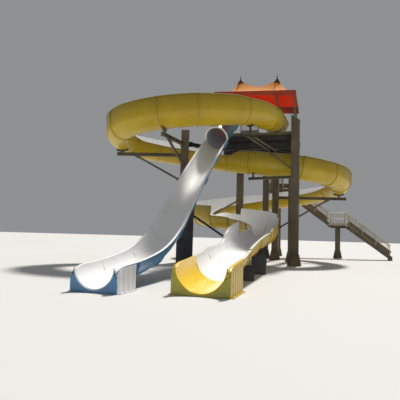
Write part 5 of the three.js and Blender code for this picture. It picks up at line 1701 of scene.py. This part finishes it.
SM = [M_STEEL, M_DECK, M_GALV, M_RAIL]
mb = Mesh()
flight_mesh(mb, "p", 7.42, 3.86, ST_Q0 + 0.03, ST_Q1 - 0.03, 0.1, LAND1_Z, True, ("T0", "T1"))
piece(mb, "stair_flight_lower_steel", SM, ["stair_flight_lower"])
mb = Mesh()
flight_mesh(mb, "p", 2.43, -0.99, ST_Q0 + 0.03, ST_Q1 - 0.03, LAND1_Z, LAND2_Z, False, ("F0", "F1", "T1"))
piece(mb, "stair_flight_middle_steel", SM, ["stair_flight_middle"])
mb = Mesh()
flight_mesh(mb, "q", 12.0, WALK_Q + 0.11, -2.52, -1.48, LAND2_Z, DECK_Z, False)
piece(mb, "stair_flight_upper_steel", SM, ["stair_flight_upper"])


def landing(mb, p0, p1, q0, q1, z, colp, colq, guards, solid=True):
    for a_, b_ in (((p0, q0 + 0.04), (p1, q0 + 0.04)), ((p0, q1 - 0.04), (p1, q1 - 0.04))):
        mb.channel_bar(T(*a_, z - 0.13), T(*b_, z - 0.13), 0.08, 0.18, 0.009, 0)
    for a_, b_ in (((p0 + 0.04, q0 + 0.08), (p0 + 0.04, q1 - 0.08)), ((p1 - 0.04, q0 + 0.08), (p1 - 0.04, q1 - 0.08))):
        mb.channel_bar(T(*a_, z - 0.13), T(*b_, z - 0.13), 0.08, 0.18, 0.009, 0)
    k = max(2, int((p1 - p0) / 0.55))
    for i in range(1, k):
        x = p0 + (p1 - p0) * i / k
        mb.ibeam(T(x, q0 + 0.08, z - 0.13), T(x, q1 - 0.08, z - 0.13), 0.09, 0.17, 0.009, 0.007, 0)
    n = int(round((p1 - p0) / 0.19))
    w = (p1 - p0) / n
    for i in range(n):
        a_ = p0 + w * i
        mb.box((a_ + 0.003, q0 + 0.004, z - 0.036), (a_ + w - 0.003, q1 - 0.004, z - 0.001), 0.004, 1, True)
        for g in range(4):
            x = a_ + w * (g + 0.5) / 4
            mb.box((x - 0.005, q0 + 0.01, z - 0.002), (x + 0.005, q1 - 0.01, z + 0.003), 0.002, 1, True)
    column(mb, T(colp, colq, 0), E1, E2, 0.42, 0, z - 0.235, zinc=2)
    mb.frame_box(T(colp, colq, z - 0.226), (E1, E2, UP), (0.28, 0.28, 0.010), 0.003, 0)
    for a_, b_ in guards:
        guard(mb, T(*a_, z + 0.001), T(*b_, z + 0.001), 1.07, 1.3, False, 0.03, mat=3, zinc=2, mesh=not solid, panel=0 if solid else None)


mb = Mesh()
landing(mb, 2.45, 3.75, ST_Q0 - 0.1, ST_Q1 + 0.1, LAND1_Z, 3.1, 12.9, [((2.47, ST_Q0 - 0.06), (3.73, ST_Q0 - 0.06)), ((2.47, ST_Q1 + 0.06), (3.73, ST_Q1 + 0.06))], solid=False)
piece(mb, "stair_landing_lower_steel", SM, ["stair_landing_lower"])
mb = Mesh()
landing(mb, -2.9, -1.1, 12.02, 13.55, LAND2_Z, -2.0, 12.9, [((-1.13, 13.51), (-2.86, 13.51)), ((-2.86, 13.51), (-2.86, 12.05))])
piece(mb, "stair_landing_upper_steel", SM, ["stair_landing_upper"])


# ---------------------------------------------------------------------- canopy
CP, CQ = CAN_P0 + CAN_W / 2, CAN_Q0 + CAN_D / 2
HALF = 1.17


def roof(dp, dq):
    a_ = abs(dp)
    if a_ <= HALF:
        ridge = 11.37 + (PEAK_Z - 0.02 - 11.37) * (a_ / HALF) ** 2
    else:
        t = max(0.0, 1 - (a_ - HALF) / (CAN_W / 2 - HALF))
        ridge = EAVE_Z + (PEAK_Z - 0.02 - EAVE_Z) * (0.93 * t ** 1.05 + 0.07 * t ** 8)
    return EAVE_Z + (ridge - EAVE_Z) * max(0.0, 1 - abs(dq) / (CAN_D / 2)) ** 1.8


def C(p, q, z):
    """canopy frame: its front and back edges run slightly askew to the deck"""
    return T(p, q - CAN_SKEW * (CAN_P0 + CAN_W - p), z)


mb = Mesh()
e_z = EAVE_Z - 0.0523
ins = 0.06
corners = [(CAN_P0 + ins, CAN_Q0 + ins), (CAN_P0 + CAN_W - ins, CAN_Q0 + ins), (CAN_P0 + CAN_W - ins, CAN_Q0 + CAN_D - ins), (CAN_P0 + ins, CAN_Q0 + CAN_D - ins)]
for i in range(4):
    a_, b_ = corners[i], corners[(i + 1) % 4]
    mb.bar(C(*a_, e_z), C(*b_, e_z), 0.08, 0.08, 0.012, 0)
for c in corners:
    cc = C(*c, e_z)
    mb.frame_box(cc - UP * 0.010, (E1, E2, UP), (0.050, 0.050, 0.050), 0.010, 0)
    for a_ in (-1, 1):
        for z in (-0.03, 0.015):
            mb.hexhead(cc + E1 * a_ * 0.050 + UP * (z - 0.01), E1 * a_, 0.011, 0.010, 1)
            mb.hexhead(cc + E2 * a_ * 0.050 + UP * (z - 0.01), E2 * a_, 0.011, 0.010, 1)
mb.box((corners[1][0] - 0.05, -0.69, 8.2), (corners[1][0] + 0.05, -0.59, e_z), 0.012, 0, True)
for z in (8.35, 8.85):
    mb.box((corners[1][0] - 0.08, -0.64, z), (corners[1][0] + 0.08, -0.521, z + 0.08), 0.006, 0, True)
    for a_ in (-1, 1):
        mb.hexhead(T(corners[1][0] + a_ * 0.065, -0.64, z + 0.04), -E2, 0.012, 0.010, 1)
back_left = CAN_Q0 + CAN_D - ins - CAN_SKEW * (CAN_W - ins)
back_right = CAN_Q0 + CAN_D - ins - CAN_SKEW * ins
posts = [(-4.6, 0.12, ((-4.59, 0.67), (-4.59, -0.43))), (-4.55, back_left, ((-4.59, back_left - 0.55), (-4.0, back_left + 0.0605))),
         (0.09, back_right, ((-0.46, back_right - 0.0605), (0.19, back_right - 0.55)))]
for p_, q_, ends_ in posts:
    q0, q1 = T(p_, q_, DECK_Z + 0.02), T(p_, q_, e_z)
    mb.bar(q0, q1, 0.1, 0.1, 0.014, 0, up=E2)
    q = T(p_, q_, DECK_Z + 0.028)
    mb.frame_box(q, (E1, E2, UP), (0.11, 0.11, 0.008), 0.003, 0)
    for a_ in (-1, 1):
        for b_ in (-1, 1):
            mb.hexhead(q + E1 * a_ * 0.085 + E2 * b_ * 0.085 + UP * 0.008, UP, 0.013, 0.012, 1)
    # knee braces under the eave beams
    for pb_, qb_ in ends_:
        mb.bar(q1 - UP * 0.60, T(pb_, qb_, e_z - 0.03), 0.045, 0.045, 0.006, 0)
mb.bar(T(0.05, back_right, e_z), T(corners[2][0], back_right, e_z), 0.08, 0.08, 0.010, 0)
for sg in (-1, 1):
    x = CP + sg * HALF
    mb.bar(C(x, CAN_Q0 + ins, e_z), C(x, CAN_Q0 + CAN_D - ins, e_z), 0.08, 0.08, 0.012, 0)
    mb.tube([C(x, CQ, e_z), C(x, CQ, 11.85)], 0.045, 12, 0)
    mb.tube([C(x, CQ, 11.84), C(x, CQ, 11.94), C(x, CQ, 12.10), C(x, CQ, 12.12)], 0.02, 10, 2, radii=[0.034, 0.026, 0.014, 0.004])
    mb.frame_box(C(x, CQ, e_z + 0.05), (E1, E2, UP), (0.10, 0.10, 0.008), 0.003, 0)
    for a_ in (-1, 1):
        for b_ in (-1, 1):
            mb.hexhead(C(x, CQ, e_z + 0.058) + E1 * a_ * 0.075 + E2 * b_ * 0.075, UP, 0.012, 0.01, 1)
    # ring and cap on the peak
    prof = [(0.21, 0.0), (0.165, 11.64), (0.120, 11.72), (0.080, 11.785), (0.052, 11.84), (0.046, 11.86), (0.024, 11.87)]
    ns = 24
    V = []
    for r_, z_ in prof:
        for k in range(ns):
            dx, dy = r_ * math.cos(2 * math.pi * k / ns), r_ * math.sin(2 * math.pi * k / ns) * 0.9
            V.append(C(x + dx, CQ + dy, max(z_, roof(x + dx - CP, dy) + 0.007)))
    V = np.array(V)
    F = [[i * ns + k, i * ns + (k + 1) % ns, (i + 1) * ns + (k + 1) % ns, (i + 1) * ns + k] for i in range(len(prof) - 1) for k in range(ns)]
    F.append([(len(prof) - 1) * ns + k for k in range(ns)])
    q = V[F[0]]
    if np.cross(q[2] - q[0], q[3] - q[1])[2] < 0:
        F = [g[::-1] for g in F]
    V2 = V - UP * 0.004 - (V - C(x, CQ, 0)) * np.array([1, 1, 0]) * 0.02
    rim_ = [[k, (k + 1) % ns, len(V) + (k + 1) % ns, len(V) + k] for k in range(ns)]
    q = np.concatenate([V, V2])[rim_[0]]
    if np.cross(q[2] - q[0], q[3] - q[1]) @ (q[0] - C(x, CQ, q[0][2])) < 0:
        rim_ = [g[::-1] for g in rim_]
    mb.add(np.concatenate([V, V2]), F + [[k + len(V) for k in g[::-1]] for g in F] + rim_, 2)
piece(mb, "canopy_frame_tubes", [M_STEEL, M_GALV, M_CAPS], ["canopy_frame"])

# the fabric: one curved sheet, finer near the peaks
mb = Mesh()
NX, NY = ((112, 96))


def spread(h, n, focus):
    """grid lines from -h to h, closer together near the given distances"""
    x = np.linspace(-h, h, 4001)
    d = 0.35 + sum(1.0 / (0.18 + np.abs(np.abs(x) - f_)) for f_ in focus)
    c = np.concatenate([[0], np.cumsum((d[1:] + d[:-1]) / 2)])
    return np.interp(np.linspace(0, c[-1], n + 1), c, x)


hx, hy = CAN_W / 2 - 0.004, CAN_D / 2 - 0.004
PX, PY = spread(hx, NX, (HALF,)), spread(hy, NY, (0.0,))
TH_F = 0.0035
H = np.array([[roof(dp, dq) for dp in PX] for dq in PY])
top = np.array([[C(CP + PX[i], CQ + PY[j], H[j, i] - 0.002) for i in range(NX + 1)] for j in range(NY + 1)])
gx = np.gradient(top, axis=1)
gy = np.gradient(top, axis=0)
nr = np.cross(gx, gy)
nr /= np.linalg.norm(nr, axis=2, keepdims=True)
nr *= np.sign(nr[..., 2:3])
for j in range(NY):
    for i in range(NX):
        a_, b_, c_, d_ = top[j, i], top[j, i + 1], top[j + 1, i + 1], top[j + 1, i]
bot = top - nr * TH_F
sx = np.concatenate([[0], np.cumsum(np.linalg.norm(np.diff(top[NY // 2], axis=0), axis=1))])
sy = np.concatenate([[0], np.cumsum(np.linalg.norm(np.diff(top[:, NX // 2], axis=0), axis=1))])
uvt = np.array([[(sx[i], sy[j]) for i in range(NX + 1)] for j in range(NY + 1)]).reshape(-1, 2)
R = NX + 1
o = R * (NY + 1)
V = np.concatenate([top.reshape(-1, 3), bot.reshape(-1, 3)])
F, Mx = [], []
hole = 0.05
for j in range(NY):
    for i in range(NX):
        mx, my = (PX[i] + PX[i + 1]) / 2, (PY[j] + PY[j + 1]) / 2
        if abs(abs(mx) - HALF) < hole and abs(my) < hole:
            continue
        a0, a1, a2, a3 = j * R + i, j * R + i + 1, (j + 1) * R + i + 1, (j + 1) * R + i
        F.append([a0, a1, a2, a3])
        Mx.append(0)
        F.append([o + a0, o + a3, o + a2, o + a1])
        Mx.append(1)
edges = {}
for f_ in F[0::2]:
    for k in range(4):
        u_, v_ = f_[k], f_[(k + 1) % 4]
        edges[(u_, v_)] = edges.get((u_, v_), 0) + 1
for (u_, v_) in list(edges):
    if (v_, u_) not in edges:
        F.append([v_, u_, o + u_, o + v_])
        Mx.append(0)
q = V[F[0]]
if np.cross(q[2] - q[0], q[3] - q[1])[2] < 0:
    F = [g[::-1] for g in F]
used = sorted({k for g in F for k in g})
remap = {k: i for i, k in enumerate(used)}
mb.add(V[used], [[remap[k] for k in g] for g in F], Mx, np.concatenate([uvt, uvt])[used])
fabric_ob = piece(mb, "canopy_fabric_sheet", [M_ROOF, M_UNDER], ["canopy_fabric"], sharp=80)

# edge band: a strip sewn to the eave that hangs down over the edge beams, with a hem
mb = Mesh()
for (pa, qa), (pb, qb), B0, B1 in (((-hx, -hy), (hx, -hy), 0.15, 0.36), ((hx, -hy), (hx, hy), 0.36, 0.46), ((hx, hy), (-hx, hy), 0.46, 0.24), ((-hx, hy), (-hx, -hy), 0.24, 0.15)):
    L = math.hypot(pb - pa, qb - qa)
    n = int(L / 0.05)
    dx, dy = (pb - pa) / L, (qb - qa) / L
    nx_, ny_ = dy, -dx
    def band_profile(B):
        return [(0.0, 0.004), (0.010, -0.004), (0.013, -0.03), (0.011, -0.4 * B), (0.010, -0.7 * B), (0.011, -B + 0.025), (0.016, -B + 0.012), (0.012, -B), (0.006, -B + 0.004),
                (0.007, -B + 0.025), (0.006, -0.7 * B), (0.007, -0.4 * B), (0.008, -0.03), (0.002, -0.004)]

    prof = band_profile(0.3)
    m = len(prof)
    V, uv = [], []
    for i in range(n + 1):
        s_ = L * i / n
        B = B0 + (B1 - B0) * i / n
        for k, (a_, z_) in enumerate(band_profile(B)):
            hang = max(0.0, -z_ / B)
            wv = 0.006 * math.sin(s_ * 7.3 + pa) * hang + 0.004 * math.sin(s_ * 17.1 + qa * 2) * hang
            dz = -0.010 * math.sin(math.pi * s_ / L) * hang + 0.004 * math.sin(s_ * 9.7) * hang
            V.append(C(CP + pa + dx * s_ + nx_ * (a_ + wv), CQ + qa + dy * s_ + ny_ * (a_ + wv), EAVE_Z + z_ + dz))
            uv.append((s_, -z_))
    F = []
    for i in range(n):
        for k in range(m):
            j = (k + 1) % m
            F.append([i * m + k, (i + 1) * m + k, (i + 1) * m + j, i * m + j])
    F.append(list(range(m)))
    F.append([n * m + k for k in range(m)][::-1])
    V = np.array(V)
    q = V[F[3]]
    outw = E1 * nx_ + E2 * ny_
    if np.cross(q[2] - q[0], q[3] - q[1]) @ outw < 0:
        F = [g[::-1] for g in F]
    mb.add(V, F, 0, uv)
band_ob = piece(mb, "canopy_edge_band", [M_BAND], sharp=50)

# ------------------------------------------------------------ stage and camera
floor = bpy.data.meshes.new("studio_floor")
N = 96
ring = [(math.cos(2 * math.pi * k / N) * 260, math.sin(2 * math.pi * k / N) * 260, -0.004) for k in range(N)]
floor.from_pydata([(0, 0, -0.004)] + ring, [], [(0, 1 + k, 1 + (k + 1) % N) for k in range(N)])
fl_mat = Mat("studio_floor_paint", rough=0.85, spec=0.2)
fl_mat.color(fl_mat.ramp(fl_mat.noise(fl_mat.mapped("Object"), 0.05, 2, 0.5), [(0.3, (0.59, 0.59, 0.59)), (0.7, (0.61, 0.61, 0.61))]))
floor.materials.append(fl_mat.m)
fo = bpy.data.objects.new("studio_floor", floor)
bpy.context.scene.collection.objects.link(fo)

world = bpy.data.worlds.new("studio")
bpy.context.scene.world = world
world.use_nodes = True
bg = world.node_tree.nodes["Background"]
bg.inputs["Color"].default_value = (0.94, 0.97, 1.0, 1)
bg.inputs["Strength"].default_value = 0.29

sun = bpy.data.lights.new("key", "SUN")
sun.energy = 4.6
sun.angle = math.radians(5.0)
sun.color = (1.0, 0.965, 0.90)
so = bpy.data.objects.new("key", sun)
so.rotation_euler = Vector((0.24, 0.57, 0.815)).to_track_quat("Z", "Y").to_euler()
bpy.context.scene.collection.objects.link(so)

cam = bpy.data.cameras.new("camera")
cam.sensor_fit = "HORIZONTAL"
cam.sensor_width = 36.0
cam.lens = 430.0 / 400.0 * 36.0
cam.clip_end = 500.0
co = bpy.data.objects.new("camera", cam)
co.matrix_world = (Matrix.Translation((SX, SY, 1.65)) @ Matrix.Rotation(math.radians(90 + 4.65), 4, "X")
                   @ Matrix.Rotation(math.radians(1.7), 4, "Z"))
bpy.context.scene.collection.objects.link(co)
bpy.context.scene.camera = co
bpy.context.scene.view_settings.view_transform = "Standard"
